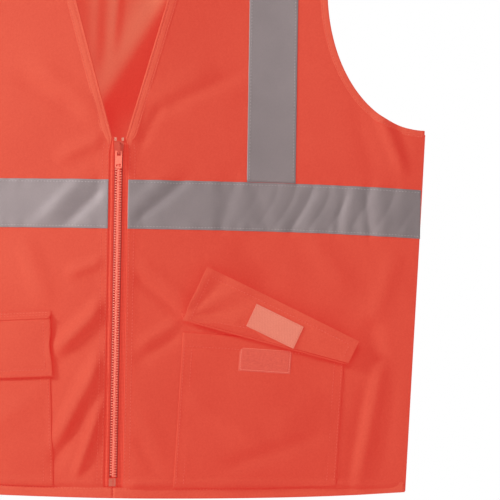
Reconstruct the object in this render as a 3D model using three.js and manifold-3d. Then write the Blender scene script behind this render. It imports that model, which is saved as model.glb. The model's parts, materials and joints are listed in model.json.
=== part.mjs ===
// High-visibility work vest: a zipped, sleeveless polyester shell with reflective tape and two flap pockets.
// Millimetres, +Z up. The front faces -Y and the wearer's left is +X. The origin is under the vest's middle,
// level with the lowest point of its hem.
//
// The shell hangs as two draped sheets joined at the shoulders and sides. Each front is divided by a fold line
// that runs from the neck point to the foot of the side seam: the part inside it turns outward when the zip is
// open, and the part outside it stays with the back.
import * as THREE from "three";
import { mergeVertices } from "three/addons/utils/BufferGeometryUtils.js";
import Module from "manifold-3d";

const wasm = await Module();
wasm.setup();

// ---- driving dimensions -----------------------------------------------------------------------------
const HEM_HALF = 297; // half the hem's width
const CHEST_HALF = 312; // half the width just under the arms
const UNDERARM_Z = 380; // top of the side seam
const CHEST_Z = 528; // level where the armhole is furthest in
const ARMHOLE_IN = 209; // half the width at CHEST_Z
const ARMHOLE_POWER = 2.1; // how square the lower armhole's curve is
const TIP_FLARE = 4; // how far the shoulder tip stands out past ARMHOLE_IN
const NECK = new THREE.Vector2(99, 690); // neck point, where the shoulder seam meets the neckline
const TIP_Z = 652; // height of the shoulder tip
const BACK_NECK_DROP = 22; // depth of the back neckline's curve
const HEM_RISE = 8; // how much higher the hem is at the side seams
const WAIST_DROOP = 6; // how much lower the waist tape is at the side seams

const FRONT_SLOPE = 0.17; // how steeply the fronts stand out, per mm inside the fold line
const RIDGE_ROUND = 25; // rounding of the ridge that the zip makes
const FOLD_ROUND = 18; // rounding where the fronts leave the fold line
const BACK_BULGE = 48; // how far the back stands out at its fullest
const BACK_DOME = 140; // how quickly that grows below the shoulders
const SEAM_HALF_GAP = 2.2; // half the space between front and back cloth at a seam
const SEAM_PUFF = 6; // extra depth away from the seams
const SEAM_FADE = 45; // distance over which it grows

const CLOTH = 1.0; // thickness of the shell cloth
const LAYER_GAP = 0.5; // space between stacked layers
const TAPE_WIDTH = 50; // reflective tape
const TAPE = 0.6;
const WAIST_TAPE_TOP = 322.5;
const SHOULDER_TAPE_X = 130; // inner edge of the shoulder tape

const BINDING_WIDTH = 8; // edge binding, folded over the cloth
const BINDING = 0.8;
const BINDING_GAP = 0.8; // space between a binding and the cloth in it
const HEM_MEET = 0.8; // the two front hems run on under the zip to this far from the middle
const SEAM_STITCH = 0.8; // seam allowances start this far inside the seam
const ALLOWANCE = 8; // and end this far inside it
const ALLOWANCE_HALF = new THREE.Vector2(1.2, 2); // half their thickness at the stitching and at the free edge
const LABEL_HALF = 22; // care label: half its width, and its levels
const LABEL_ROWS = [600, 630, 655];
const LABEL_OFF = new THREE.Vector2(-1.8, -1.2); // its two faces, inside the back's cloth

const ZIP_EDGE = 10.3; // cloth edge beside the zip
const ZIP_BOTTOM = 11;
const ZIP_TOP = 364;
const ZIP_BEND = 350; // where the cloth edges begin to part, below the neckline
const ZIP_TAPE_OUT = 17; // outer edge of the zip tape, under the cloth
const ZIP_TAPE = 0.9;
const ZIP_TAPE_IN = 1; // inner edge of the zip tape
const TAPE_PARTS = 348; // level where the two tapes begin to part
const TAPE_PARTING = 3.5; // how far each has moved out at the top
const TOOTH_PITCH = 4;
const TOOTH = 1.5; // one tooth along the zip
const TOOTH_TIP = -0.9; // how far a tooth reaches past the middle
const TEETH_OUT = 3.2;
const TEETH_DEPTH = 2.2;
const TEETH_FROM = 21;
const TEETH_TO = 356;
const SLIDER_Z = 354.5; // middle of the slider when the zip is closed
const SLIDER_LENGTH = 14;
const SLIDER_HALF = 4.9;
const SLIDER_CORNER = 1.5;
const PULL_LENGTH = 17;
const PULL_HALF = 3.5;
const PULL_THICK = 1.1;
const STOP_ACROSS = [2.5, 4.9]; // top stops
const STOP_OUT = [-0.2, 1.9];
const BOX_ACROSS = [-4.4, -0.3]; // retainer box, on the right front
const BOX_OUT = [-0.2, 2.4];
const BOX_UP = [ZIP_BOTTOM + 1, ZIP_BOTTOM + 9];
const PIN_ACROSS = [0.2, 2.6]; // insertion pin, on the left front
const PIN_OUT = [-0.2, 2.2];
const PIN_UP = [ZIP_BOTTOM + 1, ZIP_BOTTOM + 9.4];

const POCKET_TILT = THREE.MathUtils.degToRad(3.6); // the pockets lean with the drape of the cloth
const POCKET_TOP_IN = new THREE.Vector2(67.8, 168.7);
const POCKET_WIDTH = 166;
const POCKET_FOOT_Z = 11;
const POCKET_LEAN = 7.5; // how far the pocket's foot is nearer the zip than its top
const POCKET_PUFF = 3; // how far it stands out at its fullest
const PUFF_FROM = 0.34; // share of its depth above which it lies flat
const FLAP_START = new THREE.Vector2(65.9, 181.3); // end of the flap's seam nearest the zip
const FLAP_WIDTH = 172;
const FLAP_DEPTH = 60;
const FLAP_SEAM = 7; // strip sewn down above the flap's seam
const CREASE_FALL = 33.4; // how far down the flap its diagonal crease has run at the outer end
const LEFT_FLAP_OPEN = THREE.MathUtils.degToRad(175); // the left flap rests folded back
const PAD = new THREE.Vector2(53, 25); // hook and loop pads
const PAD_MIDDLE = new THREE.Vector2(88, 35.4); // across and down from the start of the flap
const PAD_THICK = 0.8;

// ---- the draped surfaces ----------------------------------------------------------------------------
const FRONT = -1;
const BACK = 1;
const HEM_EDGE = BINDING + BINDING_GAP; // the cloth stops above the binding's folded edge
const FOLD_FOOT_X = HEM_HALF - 5;
const FOLD_SLOPE = (FOLD_FOOT_X - NECK.x) / NECK.y;
const FOLD_NORMAL = new THREE.Vector2(1, FOLD_SLOPE).normalize();
const SHOULDER_SLOPE = (NECK.y - TIP_Z) / (ARMHOLE_IN + TIP_FLARE - NECK.x);

const lerp = THREE.MathUtils.lerp;
const clamp = THREE.MathUtils.clamp;
const softplus = (s, width) => width * Math.log1p(Math.exp(s / width));
const fade = (distance) => 1 - Math.exp(-Math.max(distance, 0) / SEAM_FADE);

const sideX = (z) => lerp(HEM_HALF, CHEST_HALF, z / UNDERARM_Z);
const shoulderZ = (x) => NECK.y - SHOULDER_SLOPE * Math.max(Math.abs(x) - NECK.x, 0);
const foldX = (z) => FOLD_FOOT_X - FOLD_SLOPE * z;

function seamDepth(x, z) {
  const puff = SEAM_PUFF * fade(sideX(z) - Math.abs(x)) * fade(shoulderZ(x) - z);
  return SEAM_HALF_GAP + puff;
}

function frontY(x, z) {
  const across = Math.hypot(x, RIDGE_ROUND);
  const inside = FOLD_NORMAL.x * (FOLD_FOOT_X - across) - FOLD_NORMAL.y * z;
  return -(seamDepth(x, z) + FRONT_SLOPE * softplus(inside, FOLD_ROUND));
}

function backY(x, z) {
  const across = Math.max(1 - (x / sideX(z)) ** 2, 0);
  const down = 1 - Math.exp(-Math.max(shoulderZ(x) - z, 0) / BACK_DOME);
  return seamDepth(x, z) + BACK_BULGE * across * down;
}

const surfaceY = (face, x, z) => (face === FRONT ? frontY(x, z) : backY(x, z));

// How far the drape lifts the cloth from its flat pattern: up at the foot of the sides, down beside the waist
// tape.
function lift(x, z) {
  const outward = Math.abs(x / CHEST_HALF) ** 3;
  const hem = HEM_RISE * Math.max(1 - z / 200, 0);
  const waist = WAIST_DROOP * Math.exp(-(((z - 297) / 90) ** 2));
  return outward * (hem - waist);
}

function normalAt(face, x, z) {
  const step = 0.5;
  const dx = (surfaceY(face, x + step, z) - surfaceY(face, x - step, z)) / (2 * step);
  const dz = (surfaceY(face, x, z + step) - surfaceY(face, x, z - step)) / (2 * step);
  return new THREE.Vector3(-dx, 1, -dz).multiplyScalar(face).normalize();
}

// The point a pattern position (x, z) hangs at, `off` mm outside the cloth's inner face.
function hang(face, x, z, off) {
  const height = z + lift(x, z);
  const point = new THREE.Vector3(x, surfaceY(face, x, height), height);
  return point.addScaledVector(normalAt(face, x, height), off);
}

// ---- outlines ---------------------------------------------------------------------------------------
function armholePoint(angle) {
  const across = (CHEST_HALF - ARMHOLE_IN) * Math.cos(angle) ** (2 / ARMHOLE_POWER);
  const down = (CHEST_Z - UNDERARM_Z) * Math.sin(angle) ** (2 / ARMHOLE_POWER);
  return new THREE.Vector2(CHEST_HALF - across, CHEST_Z - down);
}

// Upper armhole, from CHEST_Z (t = 0) to the shoulder tip (t = 1).
const upperArmhole = (t) => new THREE.Vector2(ARMHOLE_IN + TIP_FLARE * t * t, lerp(CHEST_Z, TIP_Z, t));

// Levels and angles at which the outer edge is divided.
const SIDE_ROWS = [HEM_EDGE, 60, 120, 190, 250, 297, 340];
const ARMHOLE_ANGLES = [90, 80, 66, 50, 34, 16, 0].map(THREE.MathUtils.degToRad);
const SHOULDER_STEPS = [0.25, 0.5, 0.75, 0.92, 1];

// Outer edge of the shell from hem to shoulder tip.
const OUTER_EDGE = [
  ...SIDE_ROWS.map((z) => new THREE.Vector2(sideX(z), z)),
  ...ARMHOLE_ANGLES.map(armholePoint),
  ...SHOULDER_STEPS.map(upperArmhole),
];
const ARMHOLE_EDGE = OUTER_EDGE.slice(SIDE_ROWS.length);

// Cloth edge from the hem up beside the zip, then along the neckline.
const NECKLINE_START = new THREE.Vector2(8, ZIP_TOP);
function frontEdgeX(z) {
  if (z <= ZIP_BEND) return ZIP_EDGE;
  if (z <= ZIP_TOP) return lerp(ZIP_EDGE, NECKLINE_START.x, (z - ZIP_BEND) / (ZIP_TOP - ZIP_BEND));
  return lerp(NECKLINE_START.x, NECK.x, (z - ZIP_TOP) / (NECK.y - ZIP_TOP));
}

const backNeckZ = (x) => NECK.y - BACK_NECK_DROP * Math.sqrt(Math.max(1 - (x / NECK.x) ** 2, 0));

// The fold line in pattern coordinates, allowing for the drape's lift there.
const patternFoldX = (z) => foldX(z + lift(foldX(z), z));

// ---- solids -----------------------------------------------------------------------------------------
function solidGeometry(points, triangles) {
  const geometry = new THREE.BufferGeometry();
  geometry.setFromPoints(points);
  let volume = 0;
  for (let i = 0; i < triangles.length; i += 3) {
    const [a, b, c] = [0, 1, 2].map((k) => points[triangles[i + k]]);
    volume += a.dot(new THREE.Vector3().crossVectors(b, c));
  }
  if (volume < 0) triangles.reverse();
  geometry.setIndex(triangles);
  return geometry;
}

// A sheet with thickness: grid[row][column] is a pair of points, its inner and its outer one.
function sheetGeometry(grid) {
  const rows = grid.length;
  const columns = grid[0].length;
  const points = grid.flat(2);
  const at = (r, c, layer) => 2 * (r * columns + c) + layer;
  const triangles = [];
  const quad = (a, b, c, d) => triangles.push(a, b, c, a, c, d);
  for (let r = 0; r + 1 < rows; r++) {
    for (let c = 0; c + 1 < columns; c++) {
      quad(at(r, c, 1), at(r, c + 1, 1), at(r + 1, c + 1, 1), at(r + 1, c, 1));
      quad(at(r, c, 0), at(r + 1, c, 0), at(r + 1, c + 1, 0), at(r, c + 1, 0));
    }
    quad(at(r, 0, 0), at(r, 0, 1), at(r + 1, 0, 1), at(r + 1, 0, 0));
    quad(at(r, columns - 1, 1), at(r, columns - 1, 0), at(r + 1, columns - 1, 0), at(r + 1, columns - 1, 1));
  }
  for (let c = 0; c + 1 < columns; c++) {
    quad(at(0, c, 1), at(0, c, 0), at(0, c + 1, 0), at(0, c + 1, 1));
    quad(at(rows - 1, c, 0), at(rows - 1, c, 1), at(rows - 1, c + 1, 1), at(rows - 1, c + 1, 0));
  }
  return solidGeometry(points, triangles);
}

// A counterclockwise section swept through stations: its x runs along each station's `inward`, its y along its
// `outward`.
function sweepGeometry(stations, section) {
  const size = section.length;
  const points = stations.flatMap(({ point, inward, outward }) =>
    section.map((s) => point.clone().addScaledVector(inward, s.x).addScaledVector(outward, s.y)),
  );
  const triangles = [];
  const end = (stations.length - 1) * size;
  for (let i = 0; i < end; i += size) {
    for (let k = 0; k < size; k++) {
      const m = (k + 1) % size;
      triangles.push(i + k, i + m, i + size + m);
      triangles.push(i + k, i + size + m, i + size + k);
    }
  }
  for (const [a, b, c] of THREE.ShapeUtils.triangulateShape(section, [])) {
    triangles.push(a, c, b);
    triangles.push(end + a, end + b, end + c);
  }
  return solidGeometry(points, triangles);
}

function toSolid(geometry) {
  const bare = geometry.index ? geometry.toNonIndexed() : geometry.clone();
  bare.deleteAttribute("normal");
  bare.deleteAttribute("uv");
  const merged = mergeVertices(bare, 1e-4);
  return new wasm.Manifold(
    new wasm.Mesh({
      numProp: 3,
      vertProperties: merged.attributes.position.array,
      triVerts: new Uint32Array(merged.index.array),
    }),
  );
}

function fromSolid(solid) {
  const mesh = solid.getMesh();
  const geometry = new THREE.BufferGeometry();
  geometry.setAttribute("position", new THREE.BufferAttribute(mesh.vertProperties, mesh.numProp));
  geometry.setIndex(new THREE.BufferAttribute(mesh.triVerts, 1));
  return geometry;
}

// ---- materials --------------------------------------------------------------------------------------
const MATERIALS = {
  cloth: new THREE.MeshStandardMaterial({ color: 0xe8502f, roughness: 0.85, metalness: 0 }),
  binding: new THREE.MeshStandardMaterial({ color: 0xe5492b, roughness: 0.85, metalness: 0 }),
  reflective: new THREE.MeshStandardMaterial({ color: 0x8f8a8a, roughness: 0.45, metalness: 0.2 }),
  zipTape: new THREE.MeshStandardMaterial({ color: 0xf04a30, roughness: 0.8, metalness: 0 }),
  zipTeeth: new THREE.MeshStandardMaterial({ color: 0xe87a60, roughness: 0.4, metalness: 0 }),
  slider: new THREE.MeshStandardMaterial({ color: 0xd9604a, roughness: 0.3, metalness: 0.3 }),
  stop: new THREE.MeshStandardMaterial({ color: 0xd8d0cc, roughness: 0.3, metalness: 0.9 }),
  pad: new THREE.MeshStandardMaterial({ color: 0xe87a66, roughness: 0.95, metalness: 0 }),
  label: new THREE.MeshStandardMaterial({ color: 0xf2f0ec, roughness: 0.7, metalness: 0 }),
};

const piece = (name, geometry, material) => {
  const mesh = new THREE.Mesh(geometry, material);
  mesh.name = name;
  return mesh;
};

// ---- draped sheets ----------------------------------------------------------------------------------
const evenly = (count) => Array.from({ length: count + 1 }, (_, i) => i / count);

// A sheet hung on one face between two edges; each row runs from a to b. `inner` and `outer` are offsets,
// either numbers or functions of (across, down), both 0 to 1.
function hungGrid(face, rows, columns, inner, outer) {
  const value = (offset, across, down) => (typeof offset === "function" ? offset(across, down) : offset);
  return rows.map(([a, b], r) =>
    columns.map((f) => {
      const x = lerp(a.x, b.x, f);
      const z = lerp(a.y, b.y, f);
      const down = r / (rows.length - 1);
      return [hang(face, x, z, value(inner, f, down)), hang(face, x, z, value(outer, f, down))];
    }),
  );
}

const row = (xa, za, xb, zb = za) => [new THREE.Vector2(xa, za), new THREE.Vector2(xb, zb)];
const TAPE_IN = CLOTH + LAYER_GAP;
const TAPE_OUT = TAPE_IN + TAPE;
const FOLD_GAP = 0.5; // each side of the fold line
const CAP_GAP = 0.6; // space between a shoulder tape and the top of the cloth it crosses

// Where the sheets are divided across, as shares of their width. What lies on a sheet is divided at the same
// places.
const FRONT_COLUMNS = [0, 0.08, 0.2, 0.4, 0.6, 0.76, 0.9, 1];
const SIDE_COLUMNS = [0, 0.25, 0.5, 0.75, 0.9, 1];
const NECK_COLUMNS = [0, 0.34, 0.66, 0.88, 1];
const NECK_SHARE = NECK.x / (ARMHOLE_IN + TIP_FLARE);
const BACK_HALF_COLUMNS = [...NECK_COLUMNS.map((f) => f * NECK_SHARE), 0.64, 0.8, 0.92, 1];
const BACK_COLUMNS = [...BACK_HALF_COLUMNS.slice(1).map((f) => -f).reverse(), ...BACK_HALF_COLUMNS];

// ---- the back ---------------------------------------------------------------------------------------
const backTopZ = (x) => (Math.abs(x) < NECK.x ? backNeckZ(x) : shoulderZ(x));

function backPanel() {
  const grid = OUTER_EDGE.map((edge) => {
    const rise = clamp((edge.y - CHEST_Z) / (TIP_Z - CHEST_Z), 0, 1);
    return BACK_COLUMNS.map((f) => {
      const x = edge.x * f;
      const z = edge.y > CHEST_Z ? lerp(CHEST_Z, backTopZ(x), rise) : edge.y;
      return [hang(BACK, x, z, 0), hang(BACK, x, z, CLOTH)];
    });
  });
  return sheetGeometry(grid);
}

function backWaistTape() {
  const reach = CHEST_HALF - 5;
  const rows = [WAIST_TAPE_TOP - TAPE_WIDTH, WAIST_TAPE_TOP].map((z) => row(-reach, z, reach));
  return sheetGeometry(hungGrid(BACK, rows, evenly(24), TAPE_IN, TAPE_OUT));
}

function careLabel() {
  const rows = LABEL_ROWS.map((z) => row(-LABEL_HALF, z, LABEL_HALF));
  return sheetGeometry(hungGrid(BACK, rows, evenly(2), LABEL_OFF.x, LABEL_OFF.y));
}

// ---- edge bindings ----------------------------------------------------------------------------------
// A channel folded over the cloth's edge: x runs into the cloth from its edge, y out of the cloth.
function bindingSection() {
  const fold = -BINDING_GAP - BINDING;
  const inside = -BINDING_GAP;
  const outside = CLOTH + BINDING_GAP;
  return [
    [fold, inside - BINDING],
    [BINDING_WIDTH, inside - BINDING],
    [BINDING_WIDTH, inside],
    [-BINDING_GAP, inside],
    [-BINDING_GAP, outside],
    [BINDING_WIDTH, outside],
    [BINDING_WIDTH, outside + BINDING],
    [fold, outside + BINDING],
  ].map(([x, y]) => new THREE.Vector2(x, y));
}

// Stations along pattern points on one face, with the cloth lying on the given side of the path.
function edgeStations(face, points, clothSide) {
  return points.map((p, i) => {
    const before = points[Math.max(i - 1, 0)];
    const after = points[Math.min(i + 1, points.length - 1)];
    const along = hang(face, after.x, after.y, 0).sub(hang(face, before.x, before.y, 0)).normalize();
    const height = p.y + lift(p.x, p.y);
    const outward = normalAt(face, p.x, height);
    const inward = new THREE.Vector3().crossVectors(outward, along).multiplyScalar(clothSide * -face);
    return { point: hang(face, p.x, p.y, 0), inward: inward.normalize(), outward };
  });
}

// One face's share of an armhole's binding. Its ends follow the seams, just clear of the cloth's corners.
function armholeSide(face) {
  const stations = edgeStations(face, ARMHOLE_EDGE, 1);
  const underarm = stations[0];
  underarm.inward.set((HEM_HALF - CHEST_HALF) / UNDERARM_Z, 0, -1).normalize();
  underarm.point.x += LAYER_GAP;
  const tip = stations.at(-1);
  tip.inward.set(-1, 0, SHOULDER_SLOPE).normalize();
  tip.point.z += LAYER_GAP;
  for (const end of [underarm, tip]) end.outward.set(0, face, 0);
  return stations;
}

// The binding where it turns from front to back over the end of a seam; `turn` is 1 at the underarm and -1 at
// the tip.
function bindingTurn({ point, inward }, turn) {
  const fold = -BINDING_GAP - BINDING;
  const reach = SEAM_HALF_GAP + CLOTH + BINDING_GAP + BINDING;
  const overlap = 0.1;
  const plate = new THREE.BoxGeometry(BINDING_WIDTH - fold, 2 * reach, BINDING + overlap);
  plate.translate((BINDING_WIDTH + fold) / 2, 0, (BINDING - overlap) / 2);
  const across = new THREE.Vector3(0, turn, 0);
  const beyond = new THREE.Vector3().crossVectors(inward, across);
  const place = new THREE.Matrix4().makeBasis(inward, across, beyond).setPosition(point.x, 0, point.z);
  return plate.applyMatrix4(place);
}

function armholeBinding() {
  const front = armholeSide(FRONT);
  const back = armholeSide(BACK);
  const turns = [bindingTurn(front[0], 1), bindingTurn(front.at(-1), -1)];
  const rims = [front, back].map((stations) => sweepGeometry(stations, bindingSection()));
  const [first, ...others] = [...rims, ...turns].map(toSolid);
  return fromSolid(others.reduce((sum, part) => sum.add(part), first));
}

function frontNeckBinding() {
  const heights = [ZIP_TOP + 3, 400, 450, 505, 560, 610, 650, 677];
  const points = heights.map((z) => new THREE.Vector2(frontEdgeX(z), z));
  return sweepGeometry(edgeStations(FRONT, points, -1), bindingSection());
}

function backNeckBinding() {
  const right = NECK_COLUMNS.map((f) => new THREE.Vector2(f * NECK.x, backNeckZ(f * NECK.x)));
  const end = right.at(-1);
  end.lerp(right.at(-2), 2.5 / end.distanceTo(right.at(-2)));
  const left = right.slice(1).map((p) => new THREE.Vector2(-p.x, p.y)).reverse();
  return sweepGeometry(edgeStations(BACK, [...left, ...right], -1), bindingSection());
}

function hemBinding(face, places) {
  const points = places.map((x) => new THREE.Vector2(x, HEM_EDGE));
  return sweepGeometry(edgeStations(face, points, 1), bindingSection());
}

function backHemBinding() {
  const reach = sideX(HEM_EDGE);
  const places = BACK_COLUMNS.slice(1, -1).map((f) => f * reach);
  return hemBinding(BACK, [4 - reach, ...places, reach - 4]);
}

function frontHemBinding() {
  const reach = patternFoldX(HEM_EDGE) - FOLD_GAP;
  const places = FRONT_COLUMNS.slice(0, -1).map((f) => lerp(ZIP_EDGE, reach, f));
  return hemBinding(FRONT, [HEM_MEET, ...places, reach - 4]);
}

// ---- seams inside the shell -------------------------------------------------------------------------
// Folded seam allowances, a little thicker at their free edge than at the stitching.
function seamAllowance(stations) {
  const section = [
    [SEAM_STITCH, -ALLOWANCE_HALF.x],
    [ALLOWANCE, -ALLOWANCE_HALF.y],
    [ALLOWANCE, ALLOWANCE_HALF.y],
    [SEAM_STITCH, ALLOWANCE_HALF.x],
  ].map(([x, y]) => new THREE.Vector2(x, y));
  return sweepGeometry(stations, section);
}

function sideSeam() {
  const stations = [14, 120, 240, UNDERARM_Z - 14].map((z) => {
    const x = sideX(z);
    const point = new THREE.Vector3(x, 0, z + lift(x, z));
    return { point, inward: new THREE.Vector3(-1, 0, 0), outward: new THREE.Vector3(0, 1, 0) };
  });
  return seamAllowance(stations);
}

function shoulderSeam() {
  const slope = Math.atan(SHOULDER_SLOPE);
  const inward = new THREE.Vector3(-Math.sin(slope), 0, -Math.cos(slope));
  const stations = [NECK.x + 12, ARMHOLE_IN - 6].map((x) => ({
    point: new THREE.Vector3(x, 0, shoulderZ(x)),
    inward,
    outward: new THREE.Vector3(0, 1, 0),
  }));
  return seamAllowance(stations);
}

// ---- the parts of a front that stay with the back ---------------------------------------------------
function sidePanel() {
  const rows = OUTER_EDGE.map((edge) => {
    const rise = clamp((edge.y - CHEST_Z) / (TIP_Z - CHEST_Z), 0, 1);
    const z = edge.y > CHEST_Z ? lerp(CHEST_Z, NECK.y - 0.5, rise) : edge.y;
    return row(patternFoldX(z) + FOLD_GAP, z, edge.x, edge.y);
  });
  return sheetGeometry(hungGrid(FRONT, rows, SIDE_COLUMNS, 0, CLOTH));
}

function sideWaistTape() {
  const rows = [WAIST_TAPE_TOP - TAPE_WIDTH, WAIST_TAPE_TOP].map((z) =>
    row(patternFoldX(z) + FOLD_GAP, z, CHEST_HALF - 5),
  );
  return sheetGeometry(hungGrid(FRONT, rows, evenly(6), TAPE_IN, TAPE_OUT));
}

// Where a shoulder tape turns over the top of the cloth: its inner and its outer point.
function shoulderCap(face, x) {
  const top = shoulderZ(x);
  const turn = (off) => new THREE.Vector3(x, surfaceY(face, x, top) + face * off, top + CAP_GAP + off - TAPE_IN);
  return [turn(TAPE_IN), turn(TAPE_OUT)];
}

// One tape from the fold line up over the shoulder and down the back to the waist tape.
function shoulderTape() {
  const inner = SHOULDER_TAPE_X;
  const outer = SHOULDER_TAPE_X + TAPE_WIDTH;
  const foldZ = (x) => (FOLD_FOOT_X - x) / FOLD_SLOPE + FOLD_GAP / FOLD_NORMAL.y;
  const topZ = (x) => shoulderZ(x) - 3; // the last row on each face is just under the seam
  const front = [0, 0.25, 0.5, 0.7, 0.85, 0.94, 1].map((t) =>
    row(inner, lerp(foldZ(inner), topZ(inner), t), outer, lerp(foldZ(outer), topZ(outer), t)),
  );
  const foot = WAIST_TAPE_TOP + LAYER_GAP + TAPE;
  const back = [0, 0.04, 0.1, 0.2, 0.3, 0.4, 0.5, 0.6, 0.7, 0.85, 1].map((t) =>
    row(inner, lerp(topZ(inner), foot, t), outer, lerp(topZ(outer), foot, t)),
  );
  const across = evenly(3);
  return sheetGeometry([
    ...hungGrid(FRONT, front, across, TAPE_IN, TAPE_OUT),
    ...[FRONT, BACK].map((face) => across.map((f) => shoulderCap(face, lerp(inner, outer, f)))),
    ...hungGrid(BACK, back, across, TAPE_IN, TAPE_OUT),
  ]);
}

// ---- the parts of a front that turn out with it -----------------------------------------------------
function frontPanel() {
  const heights = [HEM_EDGE, 60, 120, 180, 240, 297, 350, ZIP_TOP, 420, 480, 540, 600, 650, 674];
  const rows = heights.map((z) => row(frontEdgeX(z), z, patternFoldX(z) - FOLD_GAP));
  return sheetGeometry(hungGrid(FRONT, rows, FRONT_COLUMNS, 0, CLOTH));
}

function frontWaistTape() {
  const rows = [WAIST_TAPE_TOP - TAPE_WIDTH, WAIST_TAPE_TOP].map((z) =>
    row(ZIP_EDGE + 1.5, z, patternFoldX(z) - FOLD_GAP),
  );
  return sheetGeometry(hungGrid(FRONT, rows, FRONT_COLUMNS, TAPE_IN, TAPE_OUT));
}

function chestTape() {
  const inner = SHOULDER_TAPE_X;
  const outer = SHOULDER_TAPE_X + TAPE_WIDTH;
  const foldZ = (x) => (FOLD_FOOT_X - x) / FOLD_SLOPE - FOLD_GAP / FOLD_NORMAL.y;
  const foot = WAIST_TAPE_TOP + LAYER_GAP + TAPE;
  const rows = evenly(4).map((t) =>
    row(inner, lerp(foot, foldZ(inner), t), outer, lerp(foot, foldZ(outer), t)),
  );
  return sheetGeometry(hungGrid(FRONT, rows, evenly(3), TAPE_IN, TAPE_OUT));
}

// ---- pocket and flap --------------------------------------------------------------------------------
const ACROSS = new THREE.Vector2(Math.cos(POCKET_TILT), -Math.sin(POCKET_TILT));
const DOWN = new THREE.Vector2(-Math.sin(POCKET_TILT), -Math.cos(POCKET_TILT));
const POCKET_IN = CLOTH + LAYER_GAP + 0.1;
const POCKET_OUT = POCKET_IN + BINDING;
const PAD_GAP = 0.4;
const LOOP_IN = POCKET_OUT + PAD_GAP;
const HOOK_IN = LOOP_IN + PAD_THICK + PAD_GAP;
const FLAP_IN = HOOK_IN + PAD_THICK + PAD_GAP;

const onFlap = (u, v) => FLAP_START.clone().addScaledVector(ACROSS, u).addScaledVector(DOWN, v);

function pocket() {
  const outer = POCKET_TOP_IN.clone().addScaledVector(ACROSS, POCKET_WIDTH);
  const rows = evenly(6).map((t) =>
    row(
      POCKET_TOP_IN.x - POCKET_LEAN * t,
      lerp(POCKET_TOP_IN.y, POCKET_FOOT_Z, t),
      outer.x - POCKET_LEAN * t,
      lerp(outer.y, POCKET_FOOT_Z, t),
    ),
  );
  const puff = (u, v) => {
    const fullness = Math.sin(Math.PI * clamp((v - PUFF_FROM) / (1 - PUFF_FROM), 0, 1));
    return POCKET_PUFF * Math.sin(Math.PI * u) * fullness;
  };
  const inner = (u, v) => POCKET_IN + puff(u, v);
  const out = (u, v) => POCKET_OUT + puff(u, v);
  return sheetGeometry(hungGrid(FRONT, rows, evenly(6), inner, out));
}

// A patch given by its rows on the flap's own pattern (across, down).
function flapSheet(rows, columns, thickness, offset) {
  const grid = rows.map(([a, b]) =>
    columns.map((f) => {
      const u = lerp(a.x, b.x, f);
      const v = lerp(a.y, b.y, f);
      const p = onFlap(u, v);
      return [hang(FRONT, p.x, p.y, offset(v)), hang(FRONT, p.x, p.y, offset(v) + thickness)];
    }),
  );
  return sheetGeometry(grid);
}

function padRows() {
  const half = PAD.clone().multiplyScalar(0.5);
  const from = PAD_MIDDLE.x - half.x;
  const to = PAD_MIDDLE.x + half.x;
  return [PAD_MIDDLE.y - half.y, PAD_MIDDLE.y + half.y].map((v) => row(from, v, to));
}

const loopPad = () => flapSheet(padRows(), evenly(2), PAD_THICK, () => LOOP_IN);
const hookPad = () => flapSheet(padRows(), evenly(2), PAD_THICK, () => HOOK_IN);

// The sewn-down strip above the flap, with the corner of the flap that the crease leaves in place below it.
function flapRoot(creased) {
  const fall = creased ? CREASE_FALL - 0.5 : 0.1;
  const rows = [row(0, -FLAP_SEAM, FLAP_WIDTH), row(0, 0, FLAP_WIDTH, 0), row(0, 0.1, FLAP_WIDTH, fall)];
  return flapSheet(rows, evenly(8), CLOTH, (v) => (v < 0 ? POCKET_IN : FLAP_IN));
}

function flap(creased) {
  const start = creased ? CREASE_FALL + 0.5 : 1;
  const rows = evenly(3).map((t) => row(0, lerp(1, FLAP_DEPTH, t), FLAP_WIDTH, lerp(start, FLAP_DEPTH, t)));
  return flapSheet(rows, evenly(8), CLOTH, () => FLAP_IN);
}

// The flap's hinge line, just outside its outer face, and the same line's direction from the zip outwards.
function flapHinge(creased) {
  const fall = creased ? CREASE_FALL : 0.5;
  const off = FLAP_IN + CLOTH + 0.6;
  const [a, b] = [0, 0.8].map((f) => onFlap(f * FLAP_WIDTH, lerp(0.5, fall, f)));
  const start = hang(FRONT, a.x, a.y, off);
  const end = hang(FRONT, b.x, b.y, off);
  return { point: start, axis: end.sub(start).normalize() };
}

// The flap and its pad in a group that turns about the hinge by `angle`, outward and up.
function flapGroup(side, creased, angle) {
  const { point, axis } = flapHinge(creased);
  const turned = new THREE.Group();
  const turn = new THREE.Matrix4().makeRotationAxis(axis, -angle);
  const there = new THREE.Matrix4().makeTranslation(point);
  const back = new THREE.Matrix4().makeTranslation(point.clone().negate());
  turned.applyMatrix4(there.multiply(turn).multiply(back));
  turned.add(piece(side + "_flap", flap(creased), MATERIALS.cloth));
  turned.add(piece(side + "_flap_hook_pad", hookPad(), MATERIALS.pad));
  return turned;
}

// ---- the zip ----------------------------------------------------------------------------------------
// Its parts lie in a frame whose Z runs up the zip and whose -Y points out of the cloth.
const ZIP_FOOT = new THREE.Vector3(0, frontY(0, 0), 0);
const ZIP_HEAD = new THREE.Vector3(0, frontY(0, ZIP_TOP), ZIP_TOP);
const ZIP_UP = ZIP_HEAD.clone().sub(ZIP_FOOT).normalize();

function zipFrame() {
  const frame = new THREE.Group();
  frame.position.copy(ZIP_FOOT);
  frame.rotation.x = -Math.asin(ZIP_UP.y);
  return frame;
}

// A box given by its limits across (x), out of the cloth (n) and up the zip (z).
function zipBox([x0, x1], [n0, n1], [z0, z1]) {
  const box = new THREE.BoxGeometry(x1 - x0, n1 - n0, z1 - z0);
  return box.translate((x0 + x1) / 2, -(n0 + n1) / 2, (z0 + z1) / 2);
}

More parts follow.
